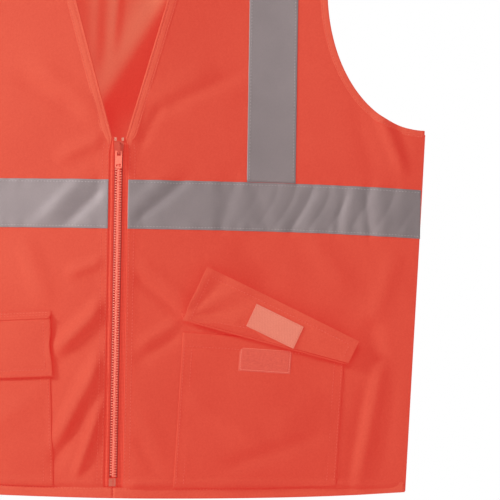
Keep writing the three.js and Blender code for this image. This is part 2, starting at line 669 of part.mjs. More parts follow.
function zipTape() {
  const edge = (z) => ZIP_TAPE_IN + TAPE_PARTING * clamp((z - TAPE_PARTS) / (ZIP_TOP - TAPE_PARTS), 0, 1);
  const heights = [ZIP_BOTTOM, 60, 120, 180, 240, 297, TAPE_PARTS, ZIP_TOP];
  const rows = heights.map((z) => row(edge(z), z, ZIP_TAPE_OUT));
  return sheetGeometry(hungGrid(FRONT, rows, evenly(3), -LAYER_GAP - ZIP_TAPE, -LAYER_GAP));
}

// A comb: a spine with teeth that reach across the middle, between the other side's teeth.
function teeth(shift) {
  const spineIn = 1.7;
  const outline = new THREE.Shape();
  outline.moveTo(TEETH_OUT, TEETH_FROM);
  outline.lineTo(TEETH_OUT, TEETH_TO);
  outline.lineTo(spineIn, TEETH_TO);
  for (let z = TEETH_TO - TOOTH_PITCH + shift; z > TEETH_FROM + TOOTH; z -= TOOTH_PITCH) {
    outline.lineTo(spineIn, z + TOOTH / 2);
    outline.lineTo(TOOTH_TIP, z + TOOTH / 2);
    outline.lineTo(TOOTH_TIP, z - TOOTH / 2);
    outline.lineTo(spineIn, z - TOOTH / 2);
  }
  outline.lineTo(spineIn, TEETH_FROM);
  outline.closePath();
  const comb = new THREE.ExtrudeGeometry(outline, { depth: TEETH_DEPTH, bevelEnabled: false });
  return comb.rotateX(Math.PI / 2);
}

const PLATE_IN = 2.9; // inner face of the slider's front plate
const PLATE_OUT = 4.2;
const CROWN_OUT = 7.2; // top of the crown that carries the pull
const PULL_N = 5.2; // the pull's cross bar, out of the cloth
const PULL_Z = SLIDER_Z - 3.6;

// Plate outline: wide at the head, where the two rows of teeth come in, and narrower at the foot.
function sliderOutline() {
  const top = SLIDER_LENGTH / 2;
  const waist = SLIDER_HALF - 0.9;
  const shape = new THREE.Shape();
  shape.moveTo(-waist, -top);
  shape.lineTo(waist, -top);
  shape.lineTo(SLIDER_HALF, top * 0.2);
  const [x, z] = [SLIDER_HALF - SLIDER_CORNER, top - SLIDER_CORNER];
  shape.absarc(x, z, SLIDER_CORNER, 0, Math.PI / 2, false);
  shape.absarc(-x, z, SLIDER_CORNER, Math.PI / 2, Math.PI, false);
  shape.lineTo(-SLIDER_HALF, top * 0.2);
  shape.closePath();
  return shape;
}

function sliderPlate(n0, n1) {
  const settings = { depth: n1 - n0, bevelEnabled: false, curveSegments: 4 };
  const plate = new THREE.ExtrudeGeometry(sliderOutline(), settings);
  return plate.rotateX(Math.PI / 2).translate(0, -n0, SLIDER_Z);
}

function sliderFront() {
  const foot = SLIDER_Z - SLIDER_LENGTH / 2;
  const rails = [-1, 1].map((s) => {
    const ends = [s * (SLIDER_HALF - 1.2), s * (SLIDER_HALF - 0.3)].sort((a, b) => a - b);
    return zipBox(ends, [0.4, PLATE_IN + 0.2], [foot + 2.5, foot + SLIDER_LENGTH - 2]);
  });
  const crown = new THREE.Shape();
  crown.moveTo(foot + 0.4, PLATE_OUT - 0.3);
  crown.lineTo(foot + SLIDER_LENGTH - 1, PLATE_OUT - 0.3);
  crown.lineTo(foot + SLIDER_LENGTH - 2.6, CROWN_OUT);
  crown.lineTo(foot + 1.4, CROWN_OUT);
  crown.lineTo(foot + 0.4, CROWN_OUT - 1);
  crown.closePath();
  const eye = new THREE.Path();
  eye.moveTo(foot + 2.2, PLATE_OUT);
  eye.lineTo(foot + 2.2, CROWN_OUT - 1);
  eye.lineTo(foot + SLIDER_LENGTH - 3.6, CROWN_OUT - 1);
  eye.lineTo(foot + SLIDER_LENGTH - 2.8, PLATE_OUT);
  eye.closePath();
  crown.holes.push(eye);
  const bridge = new THREE.ExtrudeGeometry(crown, { depth: 2.4, bevelEnabled: false });
  const upright = new THREE.Matrix4().makeBasis(
    new THREE.Vector3(0, 0, 1),
    new THREE.Vector3(0, -1, 0),
    new THREE.Vector3(1, 0, 0),
  );
  bridge.applyMatrix4(upright).translate(-1.2, 0, 0);
  const parts = [...rails, bridge].map(toSolid);
  return fromSolid(parts.reduce((sum, part) => sum.add(part), toSolid(sliderPlate(PLATE_IN, PLATE_OUT))));
}

// The pull: a cross bar through the crown's eye, a window that clears the crown, a blade and a finger hole.
function pullTab() {
  const top = 0.7;
  const foot = -PULL_LENGTH;
  const corner = 1.5;
  const blade = new THREE.Shape();
  blade.moveTo(-PULL_HALF, top);
  blade.lineTo(PULL_HALF, top);
  blade.lineTo(PULL_HALF, foot + corner);
  blade.absarc(PULL_HALF - corner, foot + corner, corner, 0, -Math.PI / 2, true);
  blade.absarc(-PULL_HALF + corner, foot + corner, corner, -Math.PI / 2, -Math.PI, true);
  blade.closePath();
  const hole = (x, z0, z1) => {
    const path = new THREE.Path();
    path.moveTo(-x, z0);
    path.lineTo(x, z0);
    path.lineTo(x, z1);
    path.lineTo(-x, z1);
    path.closePath();
    return path;
  };
  blade.holes.push(hole(1.8, -4.4, -0.7));
  blade.holes.push(hole(2.3, foot + 1.6, foot + 4.3));
  const settings = { depth: PULL_THICK, bevelEnabled: false, curveSegments: 4 };
  const tab = new THREE.ExtrudeGeometry(blade, settings);
  return tab.rotateX(Math.PI / 2).translate(0, -PULL_N + PULL_THICK / 2, PULL_Z);
}

function zipSide(side) {
  const frame = zipFrame();
  const shift = side === "left" ? 0 : -TOOTH_PITCH / 2;
  frame.add(piece(side + "_zip_teeth", teeth(shift), MATERIALS.zipTeeth));
  const stop = zipBox(STOP_ACROSS, STOP_OUT, [SLIDER_Z + SLIDER_LENGTH / 2 + 0.6, ZIP_TOP + 1.4]);
  frame.add(piece(side + "_top_stop", stop, MATERIALS.stop));
  return frame;
}

// ---- assembly ---------------------------------------------------------------------------------------
function half(side) {
  const group = new THREE.Group();
  const creased = side === "left";
  const add = (name, geometry, material) => group.add(piece(side + "_" + name, geometry, material));
  add("side_panel", sidePanel(), MATERIALS.cloth);
  add("side_waist_tape", sideWaistTape(), MATERIALS.reflective);
  add("shoulder_tape", shoulderTape(), MATERIALS.reflective);
  add("armhole_binding", armholeBinding(), MATERIALS.binding);
  add("side_seam", sideSeam(), MATERIALS.binding);
  add("shoulder_seam", shoulderSeam(), MATERIALS.binding);
  add("front_panel", frontPanel(), MATERIALS.cloth);
  add("waist_tape", frontWaistTape(), MATERIALS.reflective);
  add("chest_tape", chestTape(), MATERIALS.reflective);
  add("neck_binding", frontNeckBinding(), MATERIALS.binding);
  add("hem_binding", frontHemBinding(), MATERIALS.binding);
  add("zip_tape", zipTape(), MATERIALS.zipTape);
  add("pocket", pocket(), MATERIALS.cloth);
  add("pocket_loop_pad", loopPad(), MATERIALS.pad);
  add("flap_root", flapRoot(creased), MATERIALS.cloth);
  group.add(flapGroup(side, creased, creased ? LEFT_FLAP_OPEN : 0));
  group.add(zipSide(side));
  if (side === "right") group.scale.x = -1;
  return group;
}

function zipHardware() {
  const frame = zipFrame();
  const box = zipBox(BOX_ACROSS, BOX_OUT, BOX_UP);
  const pin = zipBox(PIN_ACROSS, PIN_OUT, PIN_UP);
  frame.add(piece("retainer_box", box, MATERIALS.zipTeeth));
  frame.add(piece("insertion_pin", pin, MATERIALS.zipTeeth));
  frame.add(piece("slider_front", sliderFront(), MATERIALS.slider));
  frame.add(piece("slider_back", sliderPlate(-3.1, -LAYER_GAP - ZIP_TAPE - 0.5), MATERIALS.slider));
  frame.add(piece("pull_tab", pullTab(), MATERIALS.slider));
  return frame;
}

const vest = new THREE.Group();
vest.add(piece("back_panel", backPanel(), MATERIALS.cloth));
vest.add(piece("back_waist_tape", backWaistTape(), MATERIALS.reflective));
vest.add(piece("back_neck_binding", backNeckBinding(), MATERIALS.binding));
vest.add(piece("back_hem_binding", backHemBinding(), MATERIALS.binding));
vest.add(piece("care_label", careLabel(), MATERIALS.label));
vest.add(half("left"));
vest.add(half("right"));
vest.add(zipHardware());

// Joint lines, for whoever drives the model: each a point and a direction in the vest's frame.
const foldHinge = () => {
  const clear = SEAM_HALF_GAP + SEAM_PUFF + FRONT_SLOPE * softplus(0, FOLD_ROUND) + TAPE_OUT + 0.4;
  return {
    point: new THREE.Vector3(FOLD_FOOT_X, -clear, 0),
    axis: new THREE.Vector3(NECK.x - FOLD_FOOT_X, 0, NECK.y).normalize(),
  };
};
const ZIP_FORWARD = new THREE.Vector3(0, -ZIP_UP.z, ZIP_UP.y);
const zipPoint = (z, n) => ZIP_FOOT.clone().addScaledVector(ZIP_UP, z).addScaledVector(ZIP_FORWARD, n);
vest.userData = {
  fold: foldHinge(),
  zip: { point: ZIP_FOOT, axis: ZIP_UP },
  pull: { point: zipPoint(PULL_Z, PULL_N), axis: new THREE.Vector3(-1, 0, 0) },
  leftFlap: flapHinge(true),
  rightFlap: flapHinge(false),
};

export default vest;
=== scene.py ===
"""Looks of the high-visibility vest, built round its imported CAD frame.

Shapes are worked out in millimetres in the frame's own axes: +Z up, the zipped front facing -Y, and the
wearer's left at +X. The draped surfaces follow the same rules as the CAD solids, scaled to the frame, with
the cloth's folds added.
"""

import json
import math

import bpy
import numpy as np
from mathutils import Matrix, Vector


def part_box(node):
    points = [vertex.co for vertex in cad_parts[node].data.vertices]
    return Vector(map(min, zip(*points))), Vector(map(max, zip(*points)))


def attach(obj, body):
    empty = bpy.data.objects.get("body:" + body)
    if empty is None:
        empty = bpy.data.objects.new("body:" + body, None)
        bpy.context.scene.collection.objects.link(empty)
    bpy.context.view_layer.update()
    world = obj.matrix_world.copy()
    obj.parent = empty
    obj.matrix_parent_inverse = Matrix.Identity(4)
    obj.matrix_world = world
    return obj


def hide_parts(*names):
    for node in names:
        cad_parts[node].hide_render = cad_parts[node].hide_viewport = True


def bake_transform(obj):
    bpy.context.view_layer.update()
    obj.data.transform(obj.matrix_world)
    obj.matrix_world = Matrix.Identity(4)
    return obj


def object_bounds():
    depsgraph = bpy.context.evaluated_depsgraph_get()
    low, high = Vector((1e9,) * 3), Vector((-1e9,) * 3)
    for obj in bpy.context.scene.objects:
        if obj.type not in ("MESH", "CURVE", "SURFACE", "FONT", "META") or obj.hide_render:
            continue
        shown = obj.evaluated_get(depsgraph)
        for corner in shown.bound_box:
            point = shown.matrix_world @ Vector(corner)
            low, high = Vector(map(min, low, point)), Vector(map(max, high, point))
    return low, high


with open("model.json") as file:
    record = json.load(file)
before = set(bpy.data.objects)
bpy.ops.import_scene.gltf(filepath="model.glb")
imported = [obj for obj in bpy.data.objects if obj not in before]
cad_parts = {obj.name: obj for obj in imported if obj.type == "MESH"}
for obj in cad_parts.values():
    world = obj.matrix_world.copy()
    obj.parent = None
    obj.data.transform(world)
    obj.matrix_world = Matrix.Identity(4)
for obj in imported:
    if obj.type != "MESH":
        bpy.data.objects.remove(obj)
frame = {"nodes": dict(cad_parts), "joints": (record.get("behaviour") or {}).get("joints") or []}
cad_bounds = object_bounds()

MM = 0.001
FRONT, BACK = -1, 1
LEFT, RIGHT = 1, -1
SIDE_NAME = {LEFT: "left", RIGHT: "right"}


# ---- sizes, taken from the frame
def corners(node):
    low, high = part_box(node)
    return np.array(low) / MM, np.array(high) / MM


CHEST_HALF = corners("left_side_panel")[1][0]
TOP = corners("left_side_panel")[1][2]


def wide(share):
    """A place across the vest, as a share of half its chest width."""
    return share * CHEST_HALF


def tall(share):
    """A height, as a share of the vest's height at the neck points."""
    return share * TOP


HEM_HALF = wide(0.952)
UNDERARM_Z = tall(0.5507)
CHEST_Z = tall(0.7652)
TIP_Z = tall(0.945)
ARMHOLE_IN = wide(0.6699)
ARMHOLE_POWER = 2.1
TIP_FLARE = wide(0.0128)
NECK_X = wide(0.317)
NECK_Z = TOP
BACK_NECK_DROP = tall(0.032)
HEM_RISE = 8.0
HEM_RISE_TOP = 200.0
WAIST_DROOP = 6.0
DROOP_Z = 297.0
DROOP_SPAN = 90.0

CLOTH = 0.9
EDGE_ROUND = 1.4
TAPE = 0.5
TAPE_IN = 1.2
TAPE_WIDTH = 50.0
TAPE_STITCH_IN = 2.6
WAIST_TAPE_FOOT = 272.5
WAIST_MIDDLE = WAIST_TAPE_FOOT + TAPE_WIDTH / 2
SHOULDER_TAPE_X = corners("left_chest_tape")[0][0]
FOLD_X = wide(0.936)
FOLD_SLOPE = (FOLD_X - NECK_X) / NECK_Z
FOLD_NORMAL = np.array([1.0, FOLD_SLOPE]) / math.hypot(1.0, FOLD_SLOPE)
SHOULDER_SLOPE = (NECK_Z - TIP_Z) / (ARMHOLE_IN + TIP_FLARE - NECK_X)

FRONT_SLOPE = 0.17
RIDGE_ROUND = 25.0
FOLD_ROUND = 18.0
BACK_BULGE = 48.0
BACK_DOME = 140.0
SEAM_HALF_GAP = 1.6
SEAM_PUFF = 6.6
SEAM_FADE = 45.0

ZIP_EDGE = 9.8
ZIP_TOP_EDGE = 7.5
ZIP_BEND = 14.0
ZIP_BOTTOM = 11.0
ZIP_TOP = 364.0
ZIP_TAPE_REACH = 17.0
TOOTH_PITCH = 2.6
HEM_MEET = 0.05
HEM_Z = 0.9

# Edge bands: how far each reaches into the cloth, and where its rows of stitches lie.
ARMHOLE_BAND = (6.5, (5.2,))
NECK_BAND = (9.0, (1.8, 7.6))
HEM_BAND = (10.0, (8.6,))


# ---- small maths
def lerp(a, b, t):
    return a + (b - a) * t


def smooth(low, high, value):
    """0 below low, 1 above high, easing between them."""
    t = np.clip((value - low) / (high - low), 0.0, 1.0)
    return t * t * (3 - 2 * t)


def softplus(s, width):
    return width * np.logaddexp(0.0, s / width)


def unit(vectors):
    return vectors / np.linalg.norm(vectors, axis=-1, keepdims=True)


def ring(count):
    """Cosines and sines of angles round a circle."""
    angle = np.linspace(0, 2 * math.pi, count + 1)[:-1]
    return np.cos(angle), np.sin(angle)


def fade(distance):
    return 1 - np.exp(-np.maximum(distance, 0.0) / SEAM_FADE)


def side_x(z):
    return lerp(HEM_HALF, CHEST_HALF, z / UNDERARM_Z)


def shoulder_z(x):
    return NECK_Z - SHOULDER_SLOPE * np.maximum(np.abs(x) - NECK_X, 0.0)


# ---- the draped surfaces
def seam_depth(x, z):
    return SEAM_HALF_GAP + SEAM_PUFF * fade(side_x(z) - np.abs(x)) * fade(shoulder_z(x) - z)


def front_y(x, z):
    across = np.hypot(x, RIDGE_ROUND)
    inside = FOLD_NORMAL[0] * (FOLD_X - across) - FOLD_NORMAL[1] * z
    return -(seam_depth(x, z) + FRONT_SLOPE * softplus(inside, FOLD_ROUND))


def back_y(x, z):
    across = np.maximum(1 - (x / side_x(z)) ** 2, 0.0)
    down = 1 - np.exp(-np.maximum(shoulder_z(x) - z, 0.0) / BACK_DOME)
    return seam_depth(x, z) + BACK_BULGE * across * down


def lift(x, z):
    """How far the drape raises the cloth: up at the foot of the sides, down beside the waist tape."""
    sideways = np.abs(x / CHEST_HALF) ** 3
    hem = HEM_RISE * np.maximum(1 - z / HEM_RISE_TOP, 0.0)
    waist = WAIST_DROOP * np.exp(-(((z - DROOP_Z) / DROOP_SPAN) ** 2))
    return sideways * (hem - waist)


def ridge(x, z, start, end, width, height):
    """A rounded ridge (or a valley, if height is negative) along a line, easing out at both ends."""
    ax, az = start
    bx, bz = end
    length = math.hypot(bx - ax, bz - az)
    ux, uz = (bx - ax) / length, (bz - az) / length
    along = ((x - ax) * ux + (z - az) * uz) / length
    off = (x - ax) * uz - (z - az) * ux
    ends = smooth(-0.15, 0.25, along) * smooth(1.15, 0.75, along)
    return height * ends * np.exp(-((off / width) ** 2))


FOLD_DEPTH = 1.3

# Folds of the fronts: where each starts and ends, its half width and its height.
FRONT_FOLDS = [
    # from the top of the zip up across the chest
    ((19, 354), (42, 398), 6, -1.7),
    ((36, 392), (122, 434), 8, -1.8),
    ((30, 400), (92, 440), 12, 1.4),
    ((60, 396), (128, 416), 12, 1.0),
    # from the armhole down beside the side seam
    ((265, 398), (291, 334), 6, 3.4),
    ((277, 398), (300, 350), 6, -0.9),
    ((240, 400), (262, 330), 10, -1.2),
    # between the zip and the pocket
    ((13, 229), (68, 183), 5, -1.9),
    ((20, 242), (74, 198), 8, 1.5),
    ((22, 153), (66, 181), 6, 2.2),
    ((20, 136), (64, 166), 6, -1.6),
    ((24, 92), (52, 44), 9, 1.0),
    ((20, 62), (44, 24), 6, -1.0),
    # beside the pocket and its flap
    ((273, 146), (248, 14), 7, 2.8),
    ((258, 182), (270, 138), 10, -2.6),
    ((256, 120), (238, 10), 8, -1.6),
    ((290, 130), (268, 14), 9, -0.8),
    ((284, 250), (262, 182), 10, 1.6),
    # along the upper edge of the opened flap
    ((118, 236), (262, 170), 14, -2.2),
    # across the waist tape
    ((76, 330), (12, 276), 6, -1.2),
    ((58, 332), (4, 286), 9, 1.1),
    ((116, 334), (104, 266), 9, -1.0),
    ((140, 322), (150, 268), 9, -0.7),
    ((200, 320), (172, 268), 5, -0.7),
    ((212, 322), (188, 268), 8, 0.6),
    ((233, 322), (221, 266), 4, -0.9),
    ((242, 324), (230, 266), 7, 0.8),
    ((252, 324), (257, 266), 4, -0.9),
    ((264, 324), (272, 266), 8, 0.8),
    # under the waist tape
    ((196, 266), (238, 214), 12, 2.0),
    ((120, 262), (160, 214), 14, -1.6),
    # the wearer's right, beside the zip
    ((-14, 366), (-62, 344), 8, 3.0),
    ((-12, 241), (-50, 226), 6, 3.2),
    ((-8, 200), (-62, 146), 8, 7.5),
    ((-12, 146), (-58, 52), 8, 8.0),
    ((-9, 104), (-37, 24), 4.5, 6.0),
    ((-26, 108), (-62, 30), 8, -3.5),
    ((-8, 322), (-60, 270), 7, -2.0),
    ((-30, 330), (-80, 276), 8, 1.8),
    # the wearer's right, further out
    ((-20, 386), (-86, 440), 11, 2.2),
    ((-40, 388), (-110, 428), 9, -1.9),
    ((-264, 400), (-288, 330), 8, 2.8),
    ((-240, 396), (-262, 320), 10, -1.8),
    ((-222, 336), (-236, 250), 8, -1.8),
    ((-196, 332), (-206, 254), 9, 1.6),
    ((-268, 160), (-242, 14), 12, 3.0),
    ((-288, 240), (-262, 176), 10, -2.2),
    ((-96, 262), (-70, 196), 12, 2.4),
    ((-130, 258), (-150, 200), 12, -2.0),
]

BACK_FOLDS = [
    # between the shoulders, as seen through the neck
    ((-40, 376), (58, 540), 15, -8.5),
    ((6, 372), (94, 526), 16, 6.5),
    ((-1, 590), (-12, 450), 6, -3.0),
    ((-26, 600), (-29, 440), 6, -1.8),
    ((96, 640), (58, 520), 14, 3.0),
    ((-100, 640), (-46, 480), 16, -4.0),
    ((140, 640), (90, 500), 16, 3.6),
    # from the armholes
    ((-180, 600), (-250, 420), 15, 4.0),
    ((190, 600), (255, 410), 15, 4.0),
    ((-210, 560), (-286, 400), 12, -3.6),
    ((216, 560), (288, 396), 12, -3.6),
    # across the waist tape
    ((-222, 336), (-240, 256), 7, -2.2),
    ((-190, 336), (-170, 256), 8, 2.0),
    ((-96, 330), (-112, 262), 8, -1.8),
    ((84, 330), (96, 262), 8, -1.8),
    ((210, 336), (192, 256), 7, -2.2),
    ((236, 336), (252, 256), 7, 2.2),
    # down the skirt
    ((-150, 250), (-176, 20), 22, 5.0),
    ((-60, 240), (-84, 10), 24, -4.6),
    ((40, 250), (52, 10), 24, 4.6),
    ((150, 250), (168, 10), 22, -4.6),
    ((236, 250), (256, 10), 18, 4.0),
    ((-246, 240), (-262, 20), 16, -3.4),
    ((-20, 400), (60, 300), 20, 3.0),
]


def waves(x, z):
    """The slow unevenness of cloth that hangs."""
    slow = 0.7 * np.sin(x / 31 + 1.7 * np.sin(z / 83)) * np.sin(z / 47 + x / 120)
    slower = 1.2 * np.sin(x / 67 - z / 101 + 0.8)
    return slow + slower


def tape_creases(x, z):
    """Sharp slanting creases that the stiff waist tape takes as it nears the side seams."""
    out = np.abs(x)
    slant = out - 0.38 * (z - WAIST_MIDDLE) + 4 * np.sin(z / 13)
    groove = (0.5 + 0.5 * np.cos(2 * math.pi * slant / 21 + 1.7 * np.sin(slant / 29))) ** 5
    window = smooth(-30, -22, z - WAIST_MIDDLE) * smooth(30, 22, z - WAIST_MIDDLE)
    return -0.6 * groove * smooth(90, 190, out) * window


def puckers(x, z):
    """Small gathers that the stitching draws along both edges of the waist tape."""
    low = WAIST_TAPE_FOOT + TAPE_STITCH_IN
    high = WAIST_TAPE_FOOT + TAPE_WIDTH - TAPE_STITCH_IN
    rows = np.exp(-(((z - low) / 6) ** 2)) + np.exp(-(((z - high) / 6) ** 2))
    return 0.32 * rows * np.sin(x / 3.3 + 2.5 * np.sin(x / 19))


def relief(face, x, z):
    """How far folds push the cloth out of its plain drape."""
    total = waves(x, z) if face == FRONT else 1.6 * waves(x + 40, z - 25)
    for start, end, width, height in FRONT_FOLDS if face == FRONT else BACK_FOLDS:
        total = total + ridge(x, z, start, end, width, FOLD_DEPTH * height)
    total = total + puckers(x, z) + (tape_creases(x, z) if face == FRONT else 0.0)
    bulge = 2.6 * np.exp(-(((z - 15) / 3.6) ** 2)) * (1 + 0.3 * np.sin(x / 17))
    calm = smooth(0, 22, side_x(z) - np.abs(x)) * smooth(0, 26, shoulder_z(x) - z)
    if face == FRONT:
        calm = calm * smooth(7, 24, np.abs(x))
    return (total + bulge) * calm * smooth(-2, 12, z)


def surface_y(face, x, z):
    plain = front_y(x, z) if face == FRONT else back_y(x, z)
    return plain + face * relief(face, x, z)


def hang(face, x, z, off):
    """Points, and outward normals, where pattern places (x, z) hang, off mm outside the inner face."""
    x, z, off = np.broadcast_arrays(*(np.asarray(value, float) for value in (x, z, off)))
    height = z + lift(x, z)
    step = 0.6
    dx = (surface_y(face, x + step, height) - surface_y(face, x - step, height)) / (2 * step)
    dz = (surface_y(face, x, height + step) - surface_y(face, x, height - step)) / (2 * step)
    normal = unit(face * np.stack([-dx, np.ones_like(dx), -dz], axis=-1))
    point = np.stack([x, surface_y(face, x, height), height], axis=-1)
    return point + normal * off[..., None], normal


# ---- outlines
FOOT_ROWS_Z = 30.0


def outer_edge():
    """The shell's outer edge from hem to shoulder tip, as rows of (x, z)."""
    foot = np.linspace(0, FOOT_ROWS_Z, 21)[:-1]
    z = np.concatenate([foot, np.linspace(FOOT_ROWS_Z, UNDERARM_Z, 112)[:-1]])
    side = np.stack([side_x(z), z], axis=1)
    angle = np.linspace(math.pi / 2, 0, 76)
    across = (CHEST_HALF - ARMHOLE_IN) * np.abs(np.cos(angle)) ** (2 / ARMHOLE_POWER)
    down = (CHEST_Z - UNDERARM_Z) * np.abs(np.sin(angle)) ** (2 / ARMHOLE_POWER)
    armhole = np.stack([CHEST_HALF - across, CHEST_Z - down], axis=1)
    t = np.linspace(0, 1, 30)[1:]
    upper = np.stack([ARMHOLE_IN + TIP_FLARE * t * t, lerp(CHEST_Z, TIP_Z, t)], axis=1)
    return np.concatenate([side, armhole, upper])


OUTER = outer_edge()
ARMHOLE = OUTER[OUTER[:, 1] >= UNDERARM_Z - 0.01]
RISE = np.clip((OUTER[:, 1] - CHEST_Z) / (TIP_Z - CHEST_Z), 0, 1)


def front_edge_x(z):
    """The cloth's edge beside the zip, then along the neckline."""
    near = np.interp(z, [ZIP_TOP - ZIP_BEND, ZIP_TOP], [ZIP_EDGE, ZIP_TOP_EDGE])
    neckline = lerp(ZIP_TOP_EDGE, NECK_X, (z - ZIP_TOP) / (NECK_Z - ZIP_TOP))
    return np.where(z <= ZIP_TOP, near, neckline)


def back_neck_z(x):
    return NECK_Z - BACK_NECK_DROP * np.sqrt(np.maximum(1 - (x / NECK_X) ** 2, 0))


def places(length, spacing, rim=1.6):
    """Places along a length, closer together at both ends so that an edge can be rounded."""
    edge = np.array([0, 0.15, 0.5, 1.0]) * rim
    middle = np.linspace(rim, length - rim, max(int(length / spacing), 2))
    return np.concatenate([edge[:-1], middle, length - edge[-2::-1]])


# ---- meshes
def make_object(name, points, faces, material):
    mesh = bpy.data.meshes.new(name)
    mesh.from_pydata((np.asarray(points) * MM).tolist(), [], faces)
    mesh.update()
    mesh.shade_smooth()
    mesh.materials.append(material)
    obj = bpy.data.objects.new(name, mesh)
    bpy.context.scene.collection.objects.link(obj)
    return obj


def outward(points, faces):
    """The faces, turned round if they would face into the solid."""
    volume = 0.0
    for face in faces:
        a = points[face[0]]
        for i in range(1, len(face) - 1):
            volume += np.dot(a, np.cross(points[face[i]], points[face[i + 1]]))
    return faces if volume > 0 else [face[::-1] for face in faces]


def quads(index):
    """The faces of a grid, given its points' numbers."""
    a, b, c, d = index[:-1, :-1], index[:-1, 1:], index[1:, 1:], index[1:, :-1]
    return np.stack([a, b, c, d], axis=-1).reshape(-1, 4)


def sheet_object(name, inner, outer, material, lining=None):
    """A closed sheet between two grids of points, with its inner face of another material if it is lined."""
    rows, columns = outer.shape[:2]
    points = np.concatenate([outer.reshape(-1, 3), inner.reshape(-1, 3)])
    index = np.arange(rows * columns).reshape(rows, columns)
    under = index + rows * columns
    faces = quads(index).tolist() + quads(under)[:, ::-1].tolist()
    rim = np.concatenate([index[0, :-1], index[:-1, -1], index[-1, :0:-1], index[:0:-1, 0]])
    for i, j in zip(rim, np.roll(rim, -1)):
        faces.append([int(j), int(i), int(i) + rows * columns, int(j) + rows * columns])
    middle = (rows // 2) * (columns - 1) + columns // 2
    p, q, r, _ = (points[k] for k in faces[middle])
    out = outer[rows // 2, columns // 2] - inner[rows // 2, columns // 2]
    if np.dot(np.cross(q - p, r - p), out) < 0:
        faces = [face[::-1] for face in faces]
    obj = make_object(name, points, faces, material)
    if lining:
        obj.data.materials.append(lining)
        count = (rows - 1) * (columns - 1)
        for polygon in obj.data.polygons[count : 2 * count]:
            polygon.material_index = 1
    return obj


def rounded(thickness, rim):
    """A sheet's thickness, rounded off where rim, the distance from its edge, is small."""
    return thickness * np.sqrt(1 - (1 - np.clip(rim / EDGE_ROUND, 0.02, 1)) ** 2)


def hung_sheet(name, face, x, z, inner, thickness, material, rim=None, lining=None):
    """A sheet hung at pattern places x, z, rounded at its edge if rim, the distance from it, is given."""
    if rim is not None:
        thickness = rounded(thickness, rim)
    low, _ = hang(face, x, z, inner)
    top, _ = hang(face, x, z, inner + thickness)
    return sheet_object(name, low, top, material, lining)


def rim_distance(u, v):
    """Each grid place's distance from the nearest edge of a patch that has columns at u and rows at v."""
    near_u = np.minimum(u - u[0], u[-1] - u)
    near_v = np.minimum(v - v[0], v[-1] - v)
    return np.minimum(near_u, near_v[:, None])


def sweep_object(name, points, inward, out, section, material, scale=1.0):
    """A closed section, or one for each point, swept along points and shrunk by scale.

    A section's x runs along inward and its y along out.
    """
    count, size = len(points), section.shape[-2]
    centre = np.array([0.6, CLOTH / 2])
    scale = np.broadcast_to(scale, count)[:, None, None]
    section = centre + (np.broadcast_to(section, (count, size, 2)) - centre) * scale
    grid = points[:, None] + inward[:, None] * section[:, :, :1] + out[:, None] * section[:, :, 1:]
    flat = grid.reshape(-1, 3)
    faces = []
    for i in range(count - 1):
        for k in range(size):
            m = (k + 1) % size
            faces.append([i * size + k, i * size + m, (i + 1) * size + m, (i + 1) * size + k])
    faces.append(list(range(size))[::-1])
    faces.append([(count - 1) * size + k for k in range(size)])
    return make_object(name, flat, outward(flat, faces), material)


def path_frame(face, x, z, cloth_side):
    """Points along an edge on one face, with directions into the cloth and out of it."""
    points, out = hang(face, x, z, 0.0)
    along = unit(np.gradient(points, axis=0))
    return points, unit(np.cross(out, along) * cloth_side * -face), out


def band_section(width, thick=0.55, stitches=()):
    """An edge band folded over the cloth: rounded at the fold, with a groove under each row of stitching."""
    x = np.concatenate([[-0.9, -0.6, 0.0], np.linspace(0.8, width - 0.8, 14), [width - 0.2, width]])
    height = np.full(len(x), CLOTH + thick)
    height[0], height[1] = CLOTH * 0.5 + 0.3, CLOTH + thick * 0.6
    height[-2], height[-1] = CLOTH + thick * 0.6, CLOTH - 0.05
    for place in stitches:
        height = height - 0.42 * np.exp(-(((x - place) / 0.8) ** 2))
    low = CLOTH - height
    upper = np.stack([x, height], axis=1)
    lower = np.stack([x[::-1], low[::-1]], axis=1)
    return np.concatenate([upper, lower])


def stitch_object(name, points, out, material, pitch=3.3, length=2.5, radius=0.32):
    """A row of stitches along a line of points, each a small rounded lozenge lying on the cloth."""
    steps = np.linalg.norm(np.diff(points, axis=0), axis=1)
    travelled = np.concatenate([[0], np.cumsum(steps)])
    starts = np.arange(pitch / 2, travelled[-1] - length, pitch)

    def at(distance, values):
        return np.stack([np.interp(distance, travelled, values[:, k]) for k in range(3)], axis=1)

    a, b, up = at(starts, points), at(starts + length, points), at(starts + length / 2, out)
    middle = (a + b) / 2
    across, over = unit(np.cross(up, b - a)) * radius, up * radius
    lozenge = [a, b, middle + across, middle - across, middle + over * 1.3, middle - over]
    flat = np.stack(lozenge, axis=1).reshape(-1, 3)
    pattern = [(0, 2, 4), (0, 4, 3), (0, 3, 5), (0, 5, 2), (1, 4, 2), (1, 3, 4), (1, 5, 3), (1, 2, 5)]
    faces = [[6 * i + k for k in triangle[::-1]] for i in range(len(starts)) for triangle in pattern]
    return make_object(name, flat, faces, material)


# ---- materials
def srgb(red, green, blue):
    values = [c / 255 for c in (red, green, blue)]
    return [c / 12.92 if c <= 0.04 else ((c + 0.055) / 1.055) ** 2.4 for c in values] + [1.0]


def set_inputs(node, values):
    for key, value in values.items():
        node.inputs[key].default_value = value


